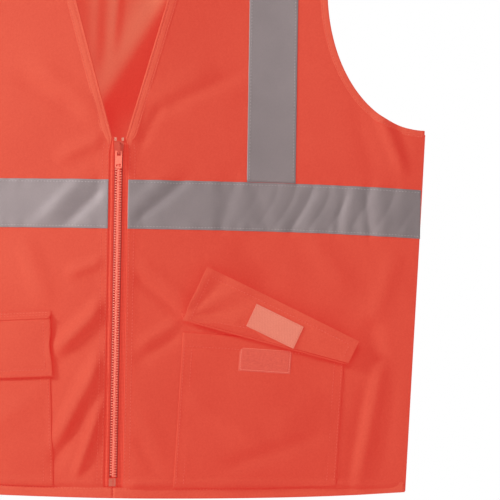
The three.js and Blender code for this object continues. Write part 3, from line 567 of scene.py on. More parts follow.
class Nodes:
    """A material's node tree, with short ways to add and join nodes."""

    def __init__(self, name):
        self.material = bpy.data.materials.new(name)
        self.material.use_nodes = True
        self.tree = self.material.node_tree
        self.shader = self.tree.nodes["Principled BSDF"]
        self.place = self.add("ShaderNodeTexCoord").outputs["Object"]

    def add(self, kind, inputs=(), **settings):
        node = self.tree.nodes.new(kind)
        for key, value in settings.items():
            setattr(node, key, value)
        set_inputs(node, dict(inputs))
        return node

    def join(self, output, socket):
        self.tree.links.new(output, socket)

    def noise(self, scale, detail=2.0, rough=0.5):
        node = self.add("ShaderNodeTexNoise", {"Scale": scale, "Detail": detail, "Roughness": rough})
        self.join(self.place, node.inputs["Vector"])
        return node.outputs["Fac"]

    def bands(self, pitch_mm, direction, distort=0.0):
        inputs = {"Scale": math.pi / 10 / (pitch_mm * MM), "Distortion": distort}
        node = self.add("ShaderNodeTexWave", inputs, bands_direction=direction)
        self.join(self.place, node.inputs["Vector"])
        return node.outputs["Fac"]

    def math(self, operation, a, b):
        node = self.add("ShaderNodeMath", operation=operation)
        for socket, value in zip(node.inputs, (a, b)):
            if isinstance(value, (int, float)):
                socket.default_value = value
            else:
                self.join(value, socket)
        return node.outputs[0]

    def times(self, a, b):
        return self.math("MULTIPLY", a, b)

    def plus(self, total, *others):
        for value in others:
            total = self.math("ADD", total, value)
        return total

    def mix(self, factor, dark, light):
        node = self.add("ShaderNodeMix", data_type="RGBA")
        set_inputs(node, {"A": dark, "B": light})
        self.join(factor, node.inputs["Factor"])
        return node.outputs["Result"]

    def emit(self, colour):
        self.join(colour, self.shader.inputs["Emission Color"])
        set_inputs(self.shader, {"Emission Strength": 1.0})

    def bump(self, height, distance_mm, strength=1.0):
        node = self.add("ShaderNodeBump", {"Distance": distance_mm * MM, "Strength": strength})
        self.join(height, node.inputs["Height"])
        self.join(node.outputs["Normal"], self.shader.inputs["Normal"])

    def finish(self, colour, roughness, sheen=0.0, metallic=0.0):
        self.join(colour, self.shader.inputs["Base Color"])
        inputs = {"Roughness": roughness, "Metallic": metallic, "Sheen Weight": sheen, "Sheen Roughness": 0.5}
        set_inputs(self.shader, inputs)
        return self.material


def painted_glow(n, tone, colour):
    """Fluorescent dye's glow, as painted light: emission in the part's own colour that shade doesn't take
    away.
    """
    red, green, blue = colour
    n.emit(n.mix(tone, (red, 0.8 * green, 0.8 * blue, 1), (red, 1.2 * green, 1.2 * blue, 1)))


def painted_light_through(n, shaded, lit):
    """Painted daylight through the cloth: emission from the shaded colour to the lit one, more where the
    normal turns towards the wearer's right.
    """
    normal = n.add("ShaderNodeSeparateXYZ")
    n.join(n.add("ShaderNodeNewGeometry").outputs["Normal"], normal.inputs[0])
    share = n.add("ShaderNodeMapRange", {"From Min": 0.35, "From Max": -0.5})
    n.join(normal.outputs["X"], share.inputs["Value"])
    n.emit(n.mix(share.outputs["Result"], (*shaded, 1), (*lit, 1)))


def shades(colour, spread=0.12):
    """A darker and a lighter shade of a linear colour."""
    return [(1 - spread) * c for c in colour] + [1], [(1 + spread) * c for c in colour] + [1]


def cloth_material(name, base, painted_glow_colour, painted_lit_colour=None):
    """Warp-knit fluorescent polyester. Given a lit colour, painted daylight shows through it, brighter where
    it faces the wearer's right.
    """
    n = Nodes(name)
    knit = n.times(n.bands(1.1, "X", 0.6), n.bands(0.9, "Z", 0.6))
    speckle = n.noise(520.0, 3.0, 0.7)
    slow = n.noise(14.0, 3.0)
    tone = n.plus(n.times(slow, 0.3), n.times(speckle, 0.5), n.times(knit, 0.2))
    n.bump(n.plus(knit, n.times(speckle, 0.8)), 0.16, 0.8)
    set_inputs(n.shader, {"Specular IOR Level": 0.15})
    if painted_lit_colour:
        painted_light_through(n, painted_glow_colour, painted_lit_colour)
    else:
        painted_glow(n, tone, painted_glow_colour)
    return n.finish(n.mix(tone, *shades(base, 0.6)), 0.8)


def reflective_material():
    """Silver glass-bead tape: a satin grey with a fine grain and faint woven lines."""
    n = Nodes("reflective_tape")
    grain = n.noise(1600.0, 2.0, 0.7)
    weave = n.times(n.bands(0.8, "X"), n.bands(0.8, "Z"))
    slow = n.noise(22.0, 3.0)
    tone = n.plus(n.times(grain, 0.45), n.times(slow, 0.35), n.times(weave, 0.2))
    n.bump(n.plus(grain, weave), 0.05, 0.6)
    return n.finish(n.mix(tone, srgb(105, 94, 95), srgb(155, 141, 141)), 0.55, metallic=0.12)


def zip_tape_material():
    """Herringbone zip tape with ribs that run along it."""
    n = Nodes("zip_tape")
    weave = n.plus(n.times(n.bands(1.5, "X"), 0.5), n.times(n.bands(1.3, "Z", 1.0), 0.5))
    n.bump(weave, 0.45, 1.0)
    set_inputs(n.shader, {"Specular IOR Level": 0.2})
    painted_glow(n, weave, (0.50, 0.016, 0.012))
    return n.finish(n.mix(weave, *shades((0.26, 0.058, 0.032), 0.6)), 0.85)


def moulded_material(name, colour, painted_glow_colour, roughness, metallic=0.0):
    """Moulded or enamelled parts and thread, with a faint mottle and a painted glow."""
    n = Nodes(name)
    mottle = n.noise(500.0, 3.0)
    n.bump(mottle, 0.03, 0.5)
    painted_glow(n, mottle, painted_glow_colour)
    return n.finish(n.mix(mottle, *shades(colour)), roughness, metallic=metallic)


def loop_material():
    """Loop pad: a matted pile, with painted shade in its hollows where the bump is low."""
    n = Nodes("loop_pile")
    pile = n.noise(750.0, 4.0, 0.85)
    n.bump(pile, 0.6, 1.0)
    painted_glow(n, pile, (0.46, 0.022, 0.02))
    return n.finish(n.mix(pile, *shades((0.25, 0.07, 0.036), 0.95)), 0.95, sheen=0.2)


def hook_material():
    """Hook pad: rows of stiff hooks, painted lighter where they stand high, as painted highlights."""
    n = Nodes("hook_rows")
    hooks = n.times(n.bands(1.6, "X"), n.bands(1.3, "Z"))
    fuzz = n.noise(1100.0, 3.0, 0.8)
    height = n.plus(n.times(hooks, 0.35), n.times(fuzz, 0.8))
    n.bump(height, 0.5, 1.0)
    painted_glow(n, height, (0.43, 0.028, 0.018))
    return n.finish(n.mix(height, *shades((0.33, 0.165, 0.105), 0.4)), 0.7, sheen=0.3)


def floor_material():
    """Pale floor that lights the vest softly from below, and that the camera sees as plain white."""
    n = Nodes("pale_floor")
    pale = n.mix(n.noise(3.0), (0.92, 0.92, 0.92, 1), (0.95, 0.95, 0.95, 1))
    n.finish(pale, 0.9)
    plain = n.add("ShaderNodeEmission")
    seen = n.add("ShaderNodeLightPath").outputs["Is Camera Ray"]
    blend = n.add("ShaderNodeMixShader")
    n.join(seen, blend.inputs["Fac"])
    n.join(n.shader.outputs["BSDF"], blend.inputs[1])
    n.join(plain.outputs["Emission"], blend.inputs[2])
    n.join(blend.outputs["Shader"], n.tree.nodes["Material Output"].inputs["Surface"])
    return n.material


# Each glow colour below is painted light: emission that keeps the part bright in shade.
SHELL = cloth_material("shell_cloth", (0.185, 0.062, 0.032), (0.525, 0.0110, 0.0110))
REVERSE = cloth_material("shell_cloth_reverse", (0.20, 0.070, 0.036), (0.53, 0.016, 0.014))
# The back's inner face: a lighter copy of the shell cloth, with painted light standing in for daylight
# through it.
PAINTED_LIT_INSIDE = cloth_material(
    "shell_cloth_painted_light_through", (0.20, 0.10, 0.05), (0.565, 0.022, 0.019), (0.60, 0.092, 0.060)
)
# Lighter than the shell cloth: painted light against the shade on the bands' rounded faces.
BAND = cloth_material("edge_band", (0.20, 0.078, 0.040), (0.535, 0.015, 0.014))
THREAD = moulded_material("thread", (0.26, 0.105, 0.065), (0.50, 0.021, 0.018), 0.8)
PALE_THREAD = moulded_material("pale_thread", (0.46, 0.24, 0.17), (0.44, 0.04, 0.03), 0.8)
TAPE_THREAD = moulded_material("tape_thread", (0.40, 0.35, 0.34), (0.02, 0.02, 0.02), 0.8)
REFLECTIVE = reflective_material()
ZIP_TAPE = zip_tape_material()
# A dark cord: painted shade between the teeth.
ZIP_CORD = moulded_material("zip_cord", (0.16, 0.02, 0.013), (0.20, 0.006, 0.004), 0.8)
TEETH = moulded_material("zip_teeth", (0.62, 0.24, 0.165), (0.26, 0.014, 0.010), 0.35)
# The slider: a darker copy of the pull's enamel, as painted shade on it and behind the pull's slot.
SHADED_SLIDER = moulded_material("slider_enamel_painted_shade", (0.42, 0.07, 0.045), (0.17, 0.006, 0.004), 0.18, 0.12)
PULL = moulded_material("pull_enamel", (0.72, 0.20, 0.135), (0.22, 0.010, 0.007), 0.22, 0.15)
STOP = moulded_material("top_stop_enamel", (0.62, 0.27, 0.19), (0.10, 0.01, 0.008), 0.3, 0.4)
BOX = moulded_material("zip_box", (0.28, 0.085, 0.05), (0.27, 0.014, 0.010), 0.4)
LOOPS = loop_material()
HOOKS = hook_material()
LABEL = moulded_material("blank_label", (0.84, 0.83, 0.80), (0.0, 0.0, 0.0), 0.6)


def ride_on(body):
    """What puts a piece on one body."""
    return lambda obj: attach(obj, body)


on_back = ride_on("back")


def bend_at_fold():
    """What bakes a piece's placing into its mesh; the piece goes on no body."""
    return lambda obj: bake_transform(obj)


def put(obj, ride, slot, *nodes):
    """Puts a piece on its body and hides the CAD nodes that it stands for; slot is not used."""
    ride(obj)
    if nodes:
        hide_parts(*nodes)


def sew(name, face, x, z, off, thread, ride, slot):
    """A row of stitches along pattern places x, z, off mm outside the inner face."""
    points, out = hang(face, x, z, off)
    put(stitch_object(name, points, out, thread), ride, slot)


# ---- the shell
def back_shell():
    share = lerp(-1, 1, places(1.0, 1 / 170, 0.0025))
    x = OUTER[:, :1] * share
    top = np.where(np.abs(x) < NECK_X, back_neck_z(x), shoulder_z(x))
    z = np.where(OUTER[:, 1:] > CHEST_Z, lerp(CHEST_Z, top, RISE[:, None]), OUTER[:, 1:] + 0 * x)
    shell = hung_sheet("back_shell", BACK, x, z, 0.0, CLOTH, SHELL, lining=PAINTED_LIT_INSIDE)
    put(shell, on_back, "cloth", "back_panel")


def front_shell(side):
    share = places(1.0, 1 / 124, 0.005)
    z_in = np.where(OUTER[:, 1] > CHEST_Z, lerp(CHEST_Z, NECK_Z, RISE), OUTER[:, 1])
    x = lerp(front_edge_x(z_in)[:, None], OUTER[:, :1], share)
    z = lerp(z_in[:, None], OUTER[:, 1:], share)
    name = SIDE_NAME[side]
    shell = hung_sheet(name + "_front_shell", FRONT, side * x, z, 0.0, CLOTH, SHELL, lining=REVERSE)
    put(shell, bend_at_fold(), "cloth", name + "_front_panel", name + "_side_panel")


def edge_band(name, face, x, z, cloth_side, size, ride, nodes=(), scale=1.0):
    """A band along an edge, with its stitching where the band is at its full size."""
    width, stitches = size
    points, inward, out = path_frame(face, x, z, cloth_side)
    section = band_section(width, stitches=stitches)
    put(sweep_object(name, points, inward, out, section, BAND, scale), ride, "binding", *nodes)
    whole = np.broadcast_to(scale, len(points)) > 0.97
    for i, place in enumerate(stitches):
        line = (points + inward * place + out * (CLOTH + 0.3))[whole]
        put(stitch_object(f"{name}_stitches_{i + 1}", line, out[whole], THREAD), ride, "binding")


def shell_edges(side):
    name = SIDE_NAME[side]
    x, z = side * ARMHOLE[:, 0], ARMHOLE[:, 1]
    nodes = [name + "_armhole_binding"]
    edge_band(name + "_armhole_front", FRONT, x, z, side, ARMHOLE_BAND, on_back, nodes)
    edge_band(name + "_armhole_back", BACK, x, z, side, ARMHOLE_BAND, on_back)
    z = np.linspace(ZIP_TOP - 20, NECK_Z - 1, 150)
    x = side * front_edge_x(z)
    taper = 0.05 + 0.95 * smooth(ZIP_TOP - 18, ZIP_TOP + 10, z)
    nodes = [name + "_neck_binding"]
    edge_band(name + "_neck_front", FRONT, x, z, -side, NECK_BAND, bend_at_fold(), nodes, taper)
    x = side * np.linspace(HEM_MEET, HEM_HALF, 110)
    nodes = [name + "_hem_binding"]
    edge_band(name + "_hem_front", FRONT, x, HEM_Z, side, HEM_BAND, bend_at_fold(), nodes)


def back_edges():
    x = NECK_X * np.sin(np.linspace(-math.pi / 2, math.pi / 2, 70))
    edge_band("neck_back", BACK, x, back_neck_z(x), -1, NECK_BAND, on_back, ["back_neck_binding"])
    x = np.linspace(-HEM_HALF, HEM_HALF, 200)
    edge_band("hem_back", BACK, x, HEM_Z, 1, HEM_BAND, on_back, ["back_hem_binding"])


SEAM_ROLL = 3.4
SEAM_ROLL_IN = 2.4


def seam_line(name, x, z, node):
    """The rolled seam where the front meets the back, and the allowance inside it."""
    height = z + lift(x, z)
    near, far = front_y(x, height), back_y(x, height)
    place = np.stack([x, (near + far) / 2, height], axis=1)
    out = np.tile([0.0, 1.0, 0.0], (len(x), 1))
    inward = np.cross(out, unit(np.gradient(place, axis=0)))
    cos, sin = ring(12)
    reach = np.broadcast_to(SEAM_ROLL * cos + SEAM_ROLL_IN, (len(x), 12))
    section = np.stack([reach, ((far - near) / 2 + 0.5)[:, None] * sin], axis=-1)
    put(sweep_object(name, place, inward, out, section, BAND), on_back, "binding", node)


def seams(side):
    """The seams of one side, each run in the order that turns its allowance into the vest."""
    name = SIDE_NAME[side]
    z = np.linspace(1.0, UNDERARM_Z - 3, 60)[::-side]
    seam_line(name + "_side_seam_roll", side * side_x(z), z, name + "_side_seam")
    x = np.linspace(NECK_X + 3, ARMHOLE_IN + TIP_FLARE - 3, 30)[::side]
    seam_line(name + "_shoulder_seam_roll", side * x, shoulder_z(x), name + "_shoulder_seam")


def care_label():
    low, high = corners("care_label")
    x = np.linspace(low[0], high[0], 16)
    z = np.linspace(low[2] + 2, high[2], 16)
    gx, gz = np.meshgrid(x, z)
    curl = 1.5 * smooth(0.6, 0.0, (gz - z[0]) / (z[-1] - z[0]))
    label = hung_sheet("blank_care_label", BACK, gx, gz, -CLOTH - curl, 0.35, LABEL)
    put(label, on_back, "label", "care_label")


# ---- reflective tape
def tape_stitches(name, face, x, z, ride):
    sew(name, face, x, z, TAPE_IN + TAPE + 0.05, TAPE_THREAD, ride, "reflective")


def waist_band(name, face, x, spacing, stitch_x, ride, nodes):
    """A run of the waist tape with columns at x, and its two rows of stitches at stitch_x."""
    v = places(TAPE_WIDTH, spacing)
    gx, gz = np.meshgrid(x, WAIST_TAPE_FOOT + v)
    rim = rim_distance(np.abs(x - x[0]), v)
    put(hung_sheet(name, face, gx, gz, TAPE_IN, TAPE, REFLECTIVE, rim), ride, "reflective", *nodes)
    for label, place in (("low", TAPE_STITCH_IN), ("high", TAPE_WIDTH - TAPE_STITCH_IN)):
        tape_stitches(f"{name}_stitches_{label}", face, stitch_x, WAIST_TAPE_FOOT + place, ride)


def front_waist_tape(side):
    name = SIDE_NAME[side]
    x = side * (ZIP_EDGE + places(CHEST_HALF - 3 - ZIP_EDGE, 2.6))
    stitch_x = side * np.linspace(ZIP_EDGE + 1, CHEST_HALF - 4, 140)
    nodes = [name + "_waist_tape", name + "_side_waist_tape"]
    waist_band(name + "_waist_band", FRONT, x, 2.6, stitch_x, bend_at_fold(), nodes)


def back_waist_tape():
    reach = CHEST_HALF - 3
    x = places(2 * reach, 3.0) - reach
    stitch_x = np.linspace(1 - reach, reach - 1, 220)
    waist_band("back_waist_band", BACK, x, 3.0, stitch_x, on_back, ["back_waist_tape"])


def over_shoulder(x, off):
    """Rows of places where the tape passes over the shoulder seam, from front to back."""
    rows = []
    for angle in np.linspace(0.15, math.pi - 0.15, 7):
        y = -math.cos(angle) * (SEAM_HALF_GAP + TAPE_IN + CLOTH * 0.2 + off)
        z = shoulder_z(x) + math.sin(angle) * (TAPE_IN + off) * 0.7
        rows.append(np.stack([x, y, z], axis=1))
    return np.stack(rows)


def shoulder_tape(side):
    """The tape that climbs from the front waist tape, and its run over the shoulder and down the back."""
    name = SIDE_NAME[side]
    foot = WAIST_TAPE_FOOT + TAPE_WIDTH + 0.2
    u = places(TAPE_WIDTH, 2.6)
    row = side * (SHOULDER_TAPE_X + u)
    top = shoulder_z(row) - 3
    z = foot + np.linspace(0, 1, 110)[:, None] * (top - foot)
    thick = rounded(TAPE, np.minimum(u, u[-1] - u))
    climb, fall = [], []
    for off in (np.zeros_like(thick), thick):
        front_points, _ = hang(FRONT, row, z, TAPE_IN + off)
        back_points, _ = hang(BACK, row, z[::-1], TAPE_IN + off)
        climb.append(front_points)
        fall.append(np.concatenate([front_points[-1:], over_shoulder(row, off), back_points]))
    tape = sheet_object(name + "_chest_band", climb[0], climb[1], REFLECTIVE)
    put(tape, bend_at_fold(), "reflective", name + "_chest_tape")
    tape = sheet_object(name + "_shoulder_band", fall[0], fall[1], REFLECTIVE)
    put(tape, on_back, "reflective", name + "_shoulder_tape")
    for label, place in (("in", TAPE_STITCH_IN), ("out", TAPE_WIDTH - TAPE_STITCH_IN)):
        x = side * (SHOULDER_TAPE_X + place)
        up = np.linspace(foot + 1, shoulder_z(x) - 4, 120)
        tape_stitches(f"{name}_chest_stitches_{label}", FRONT, x, up, bend_at_fold())
        tape_stitches(f"{name}_back_stitches_{label}", BACK, x, up, on_back)


# ---- pockets and flaps
POCKET_TILT = math.radians(3.6)
ACROSS = np.array([math.cos(POCKET_TILT), -math.sin(POCKET_TILT)])
DOWN = np.array([-math.sin(POCKET_TILT), -math.cos(POCKET_TILT)])
POCKET_IN = CLOTH + 0.5
POCKET_WIDTH = 166.0
POCKET_DEPTH = 160.0
POCKET_TOP = np.array([67.8, 168.7])
POCKET_FOOT_Z = 11.0
POCKET_LEAN = 7.5
FLAP_START = np.array([65.9, 181.3])
FLAP_WIDTH = 172.0
FLAP_DEPTH = 60.0
FLAP_SEAM = 7.0
CREASE_FALL = 33.4
STRIP_FALL = 17.0
CREASE_GAP = 0.9
CREASE_ROOM = 0.4
FLAP_IN = 5.2
FLAP_STITCH_IN = 7.4
POCKET_STITCH_ROWS = (2.4, 10.0)
POCKET_HEM = 14.0
PAD_SIZE = (53.0, 25.0)
PAD_MIDDLE = (88.0, 35.4)


def pocket_place(u, v):
    """Pattern place on the pocket, u mm across and v (0 to 1) of the way down."""
    top = POCKET_TOP[:, None, None] + ACROSS[:, None, None] * u[None, None, :]
    x = top[0] - POCKET_LEAN * v[:, None]
    z = lerp(top[1], POCKET_FOOT_Z, v[:, None])
    return x, z


def pocket(side):
    name = SIDE_NAME[side]
    u = places(POCKET_WIDTH, 2.4)
    depth = POCKET_TOP[1] - POCKET_FOOT_Z
    v = places(depth, 2.4)
    x, z = pocket_place(u, v / depth)
    gu, gv = np.meshgrid(u / POCKET_WIDTH, v / depth)
    puff = 3.2 * np.sin(math.pi * gu) * np.sin(math.pi * np.clip((gv - 0.3) / 0.7, 0, 1))
    across, down = gu * POCKET_WIDTH, gv * POCKET_DEPTH
    puff += ridge(across, down, (10, 66), (90, 118), 12, 2.0)
    puff += ridge(across, down, (44, 142), (150, 104), 9, -2.2)
    puff += ridge(across, down, (100, 100), (140, 60), 14, 1.4)
    rim = rim_distance(u, v)
    puff *= smooth(0, 14, rim)
    hem = 0.45 * smooth(POCKET_HEM + 1.5, POCKET_HEM + 0.5, v)[:, None]
    inner = POCKET_IN + puff
    patch = hung_sheet(name + "_pocket_patch", FRONT, side * x, z, inner, 0.8 + hem, SHELL, rim)
    on_front = ride_on(name + "_front")
    put(patch, on_front, "cloth", name + "_pocket")
    row = name + "_pocket_stitches_"
    near, far = POCKET_STITCH_ROWS
    columns = {"inner": near, "inner_2": far, "outer": POCKET_WIDTH - near, "outer_2": POCKET_WIDTH - far}
    for label, place in columns.items():
        x, z = pocket_place(np.array([place]), np.linspace(0.01, 0.98, 90))
        sew(row + label, FRONT, side * x[:, 0], z[:, 0], POCKET_IN + 0.95, THREAD, on_front, "cloth")
    x, z = pocket_place(np.linspace(2, POCKET_WIDTH - 2, 90), np.array([POCKET_HEM / depth]))
    sew(row + "hem", FRONT, side * x[0], z[0], POCKET_IN + 1.35, THREAD, on_front, "cloth")


def on_flap(side, u, v):
    """Where flap places hang, u mm along the flap's seam and v mm down from it."""
    x = FLAP_START[0] + ACROSS[0] * u + DOWN[0] * v
    z = FLAP_START[1] + ACROSS[1] * u + DOWN[1] * v
    return FRONT, side * x, z


def rest_flap(side):
    """What turns a piece built on the closed flap to where the flap rests, and puts it on its body."""
    body = SIDE_NAME[side] + "_flap"
    if side == RIGHT:
        return ride_on(body)
    joint = next(j for j in frame["joints"] if j["child"] == body)
    place = Vector(joint["pos_m"])
    opening = Matrix.Rotation(math.radians(-joint["range_deg"][0]), 4, Vector(joint["axis"]))
    turn = Matrix.Translation(place) @ opening @ Matrix.Translation(-place)

    def turned(obj):
        obj.data.transform(turn)
        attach(obj, body)

    return turned


def left_only(fall, side, u):
    """What has fallen, u mm along a flap, of the slant fall that only the left flap has."""
    return fall * u / FLAP_WIDTH if side == LEFT else 0.0 * u


def flap_creases(u, v):
    """Puckers that run out from the corner where the diagonal crease starts, lying flat under the pad."""
    angle = np.arctan2(v, u + 1e-6)
    away = np.hypot(u, v)
    fan = np.sin(angle * 11 + 0.6) * smooth(2, 40, away) * smooth(150, 50, away)
    wave = 0.7 * np.sin(u / 17 + v / 30 + 0.5) * smooth(10, 60, u)
    beside_u = np.abs(u - PAD_MIDDLE[0]) - PAD_SIZE[0] / 2
    beside_v = np.abs(v - PAD_MIDDLE[1]) - PAD_SIZE[1] / 2
    return (1.2 * fan + wave) * smooth(1, 12, np.maximum(beside_u, beside_v))


def flap_wave(side, u, v, start):
    """How far a flap's cloth is lifted: creased below start if it rests open, gently waved if closed."""
    return flap_creases(u, v) * smooth(0, 16, v - start) if side == LEFT else 0.6 * np.sin(u / 19)


def flap_patch(name, side):
    """The part of a flap that turns, built closed."""
    u = places(FLAP_WIDTH, 2.2)
    v = places(FLAP_DEPTH, 2.0)
    start = left_only(CREASE_FALL + CREASE_ROOM, side, u) + CREASE_GAP
    gu, share = np.meshgrid(u, v / FLAP_DEPTH)
    gv = lerp(start, FLAP_DEPTH, share)
    free = np.minimum(np.minimum(gu, FLAP_WIDTH - gu), FLAP_DEPTH - gv)
    rim = np.minimum(free, gv - start)
    hem = 0.5 * smooth(8.6, 7.6, free)
    inner = FLAP_IN - hem + flap_wave(side, gu, gv, start)
    place = on_flap(side, gu, gv)
    return hung_sheet(name, *place, inner, CLOTH + hem, SHELL, rim, REVERSE)


def flap_stitches(side, ride):
    """Stitching round the flap's three free edges, on the face that is turned up at rest."""
    start_in, start_out = (3.0, CREASE_FALL + 3) if side == LEFT else (2.0, 2.0)
    near, far, foot = FLAP_STITCH_IN, FLAP_WIDTH - FLAP_STITCH_IN, FLAP_DEPTH - FLAP_STITCH_IN
    corner = [(near, start_in), (near, foot), (far, foot), (far, start_out)]
    level = FLAP_IN - 0.6 if side == LEFT else FLAP_IN + CLOTH + 0.1
    for i, (a, b) in enumerate(zip(corner, corner[1:])):
        t = np.linspace(0, 1, 60)
        u, v = lerp(a[0], b[0], t), lerp(a[1], b[1], t)
        off = level + flap_wave(side, u, v, CREASE_FALL * u / FLAP_WIDTH)
        points, out = hang(*on_flap(side, u, v), off)
        row = stitch_object(f"{SIDE_NAME[side]}_flap_stitches_{i + 1}", points, out * -side, THREAD)
        put(row, ride, "cloth")


def pad(name, side, inner, material):
    """A hook or loop pad: a pile with a flat sewn border."""
    u = places(PAD_SIZE[0], 1.1)
    v = places(PAD_SIZE[1], 1.1)
    gu, gv = np.meshgrid(u, v)
    place = on_flap(side, PAD_MIDDLE[0] - PAD_SIZE[0] / 2 + gu, PAD_MIDDLE[1] - PAD_SIZE[1] / 2 + gv)
    rim = rim_distance(u, v)
    tuft = 0.17 * np.sin(gu * 5.1 + 2 * np.sin(gv * 3.3)) * np.sin(gv * 4.7 + np.sin(gu * 2.9))
    pile = (0.35 + tuft) * smooth(1.8, 3.0, rim)
    return hung_sheet(name, *place, inner, 0.45 + pile, material, rim)


def pad_border(name, side, off, thread, flip=1):
    """Stitches round a pad, just inside its edge."""
    a, b = PAD_SIZE[0] / 2 - 1.5, PAD_SIZE[1] / 2 - 1.5
    loop = [(-a, -b), (a, -b), (a, b), (-a, b), (-a, -b)]
    u = np.interp(np.linspace(0, 4, 81), range(5), [PAD_MIDDLE[0] + p[0] for p in loop])
    v = np.interp(np.linspace(0, 4, 81), range(5), [PAD_MIDDLE[1] + p[1] for p in loop])
    points, out = hang(*on_flap(side, u, v), off)
    return stitch_object(name, points, out * flip, thread, 2.4, 1.9, 0.4)


def loop_pad(side):
    name = SIDE_NAME[side]
    on_front = ride_on(name + "_front")
    inner = POCKET_IN + 0.75
    put(pad(name + "_loop_pile", side, inner, LOOPS), on_front, "pad", name + "_pocket_loop_pad")
    put(pad_border(name + "_loop_border", side, inner + 0.6, PALE_THREAD), on_front, "pad")


def strip_off(v):
    """How far the strip above a flap stands off the front, v mm down from the flap's seam."""
    return lerp(POCKET_IN, FLAP_IN, smooth(-6.0, 0.5, v))


def flap_root(side):
    """The strip sewn down above the flap, with the corner that a crease leaves below it."""
    name = SIDE_NAME[side]
    on_front = ride_on(name + "_front")
    u = places(FLAP_WIDTH, 2.6)
    top = left_only(STRIP_FALL, side, u) - FLAP_SEAM
    foot = left_only(CREASE_FALL, side, u) - (CREASE_GAP if side == RIGHT else 0.0)
    gu, share = np.meshgrid(u, places(1.0, 1 / 24, 0.02))
    gv = lerp(top, foot, share)
    rim = np.minimum(np.minimum(gu, FLAP_WIDTH - gu), gv - top)
    place = on_flap(side, gu, gv)
    strip = hung_sheet(name + "_flap_seam_strip", *place, strip_off(gv), CLOTH, SHELL, rim)
    put(strip, on_front, "cloth", name + "_flap_root")
    u = np.linspace(2, FLAP_WIDTH - 2, 90)
    for i, start in enumerate((-2.9, -5.4)):
        v = start + left_only(STRIP_FALL, side, u)
        row = f"{name}_flap_seam_stitches_{i + 1}"
        sew(row, *on_flap(side, u, v), strip_off(v) + CLOTH + 0.05, THREAD, on_front, "cloth")


def crease_roll(side):
    """The rolled cloth along which a flap turns."""
    u = np.linspace(0.5, FLAP_WIDTH - 0.5, 70)
    place = on_flap(side, u, left_only(CREASE_FALL, side, u))
    centre, out = hang(*place, FLAP_IN + CLOTH + 0.35)
    inward = np.cross(out, unit(np.gradient(centre, axis=0)))
    cos, sin = ring(14)
    section = np.stack([1.25 * cos, 1.15 * sin - 0.2], axis=1)
    name = SIDE_NAME[side] + "_flap"
    roll = sweep_object(name + "_crease", centre, inward, out, section, SHELL)
    put(roll, ride_on(name), "cloth")


def flap(side):
    name = SIDE_NAME[side]
    rest = rest_flap(side)
    put(flap_patch(name + "_flap_cloth", side), rest, "cloth", name + "_flap")
    flap_stitches(side, rest)
    hook = pad(name + "_hook_rows", side, FLAP_IN - 1.15, HOOKS)
    put(hook, rest, "pad", name + "_flap_hook_pad")
    put(pad_border(name + "_hook_border", side, FLAP_IN - 1.0, THREAD, -1), rest, "pad")
    crease_roll(side)


# ---- the zip
def zip_point(x, out, up):
    """Places in the zip's own frame: x across, out of the cloth, and up along the zip."""
    foot = np.array([0.0, float(front_y(0.0, 0.0)), 0.0])
    head = np.array([0.0, float(front_y(0.0, ZIP_TOP)), ZIP_TOP])
    rise = (head - foot) / np.linalg.norm(head - foot)
    forward = np.array([0.0, -rise[2], rise[1]])
    x, out, up = np.broadcast_arrays(x, out, up)
    point = foot + rise * up[..., None] + forward * out[..., None]
    point[..., 0] += x
    return point


def zip_tape(side):
    """The ribbed tape under a front's edge, opening out at the top, and the rows that sew it on."""
    name = SIDE_NAME[side]
    on_front = ride_on(name + "_front")
    z = np.linspace(ZIP_BOTTOM, ZIP_TOP + 1, 150)
    flare = 0.8 + 3.5 * np.clip((z - ZIP_TOP + 16) / 16, 0, 1)
    x = lerp(flare[:, None], ZIP_TAPE_REACH, np.linspace(0, 1, 24))
    rib = 0.12 * np.cos(x * 2 * math.pi / 1.5)
    if side == RIGHT:
        rib = rib + 1.1 * np.exp(-(((x - 6.3) / 1.3) ** 2))
    low, _ = hang(FRONT, side * x, z[:, None], -1.3)
    top, _ = hang(FRONT, side * x, z[:, None], -0.35 + rib)
    put(sheet_object(name + "_zip_ribbon", low, top, ZIP_TAPE), on_front, "zip_tape", name + "_zip_tape")
    z = np.linspace(ZIP_BOTTOM + 2, ZIP_TOP - 4, 130)
    for label, place in (("edge", 1.6), ("field", 6.5)):
        x = side * (front_edge_x(z) + place)
        sew(f"{name}_zip_stitches_{label}", FRONT, x, z, CLOTH + 0.05, THREAD, on_front, "zip_tape")


def zip_teeth(side):
    """Moulded teeth that mesh across the middle."""
    name = SIDE_NAME[side]
    low, high = corners(name + "_zip_teeth")
    first = low[2] + 1.5 + (TOOTH_PITCH / 2 if side == RIGHT else 0)
    heights = np.arange(first, high[2] - 1.5, TOOTH_PITCH)
    half = [(3.3, 0.52), (1.5, 0.52), (0.9, 0.28), (0.4, 0.28), (-0.1, 0.62), (-1.2, 0.5)]
    outline = [(x, -dz) for x, dz in half] + half[::-1]
    middle = 1.1
    size = len(outline)
    points, faces = [], []
    for i, z in enumerate(heights):
        for out, shrink in ((0.1, 1.0), (1.7, 1.0), (2.3, 0.6)):
            for x, dz in outline:
                points.append((side * (middle + (x - middle) * shrink), out, z + dz * shrink))
        base = 3 * size * i
        faces.append([base + k for k in range(size)])
        for low_ring in (base, base + size):
            top_ring = low_ring + size
            for k in range(size):
                m = (k + 1) % size
                faces.append([low_ring + k, top_ring + k, top_ring + m, low_ring + m])
        faces.append([base + 2 * size + k for k in range(size)][::-1])
    placed = zip_point(*np.array(points).T)
    teeth = make_object(name + "_meshed_teeth", placed, outward(placed, faces), TEETH)
    teeth.data.shade_flat()
    put(teeth, ride_on(name + "_front"), "zip_teeth", name + "_zip_teeth")


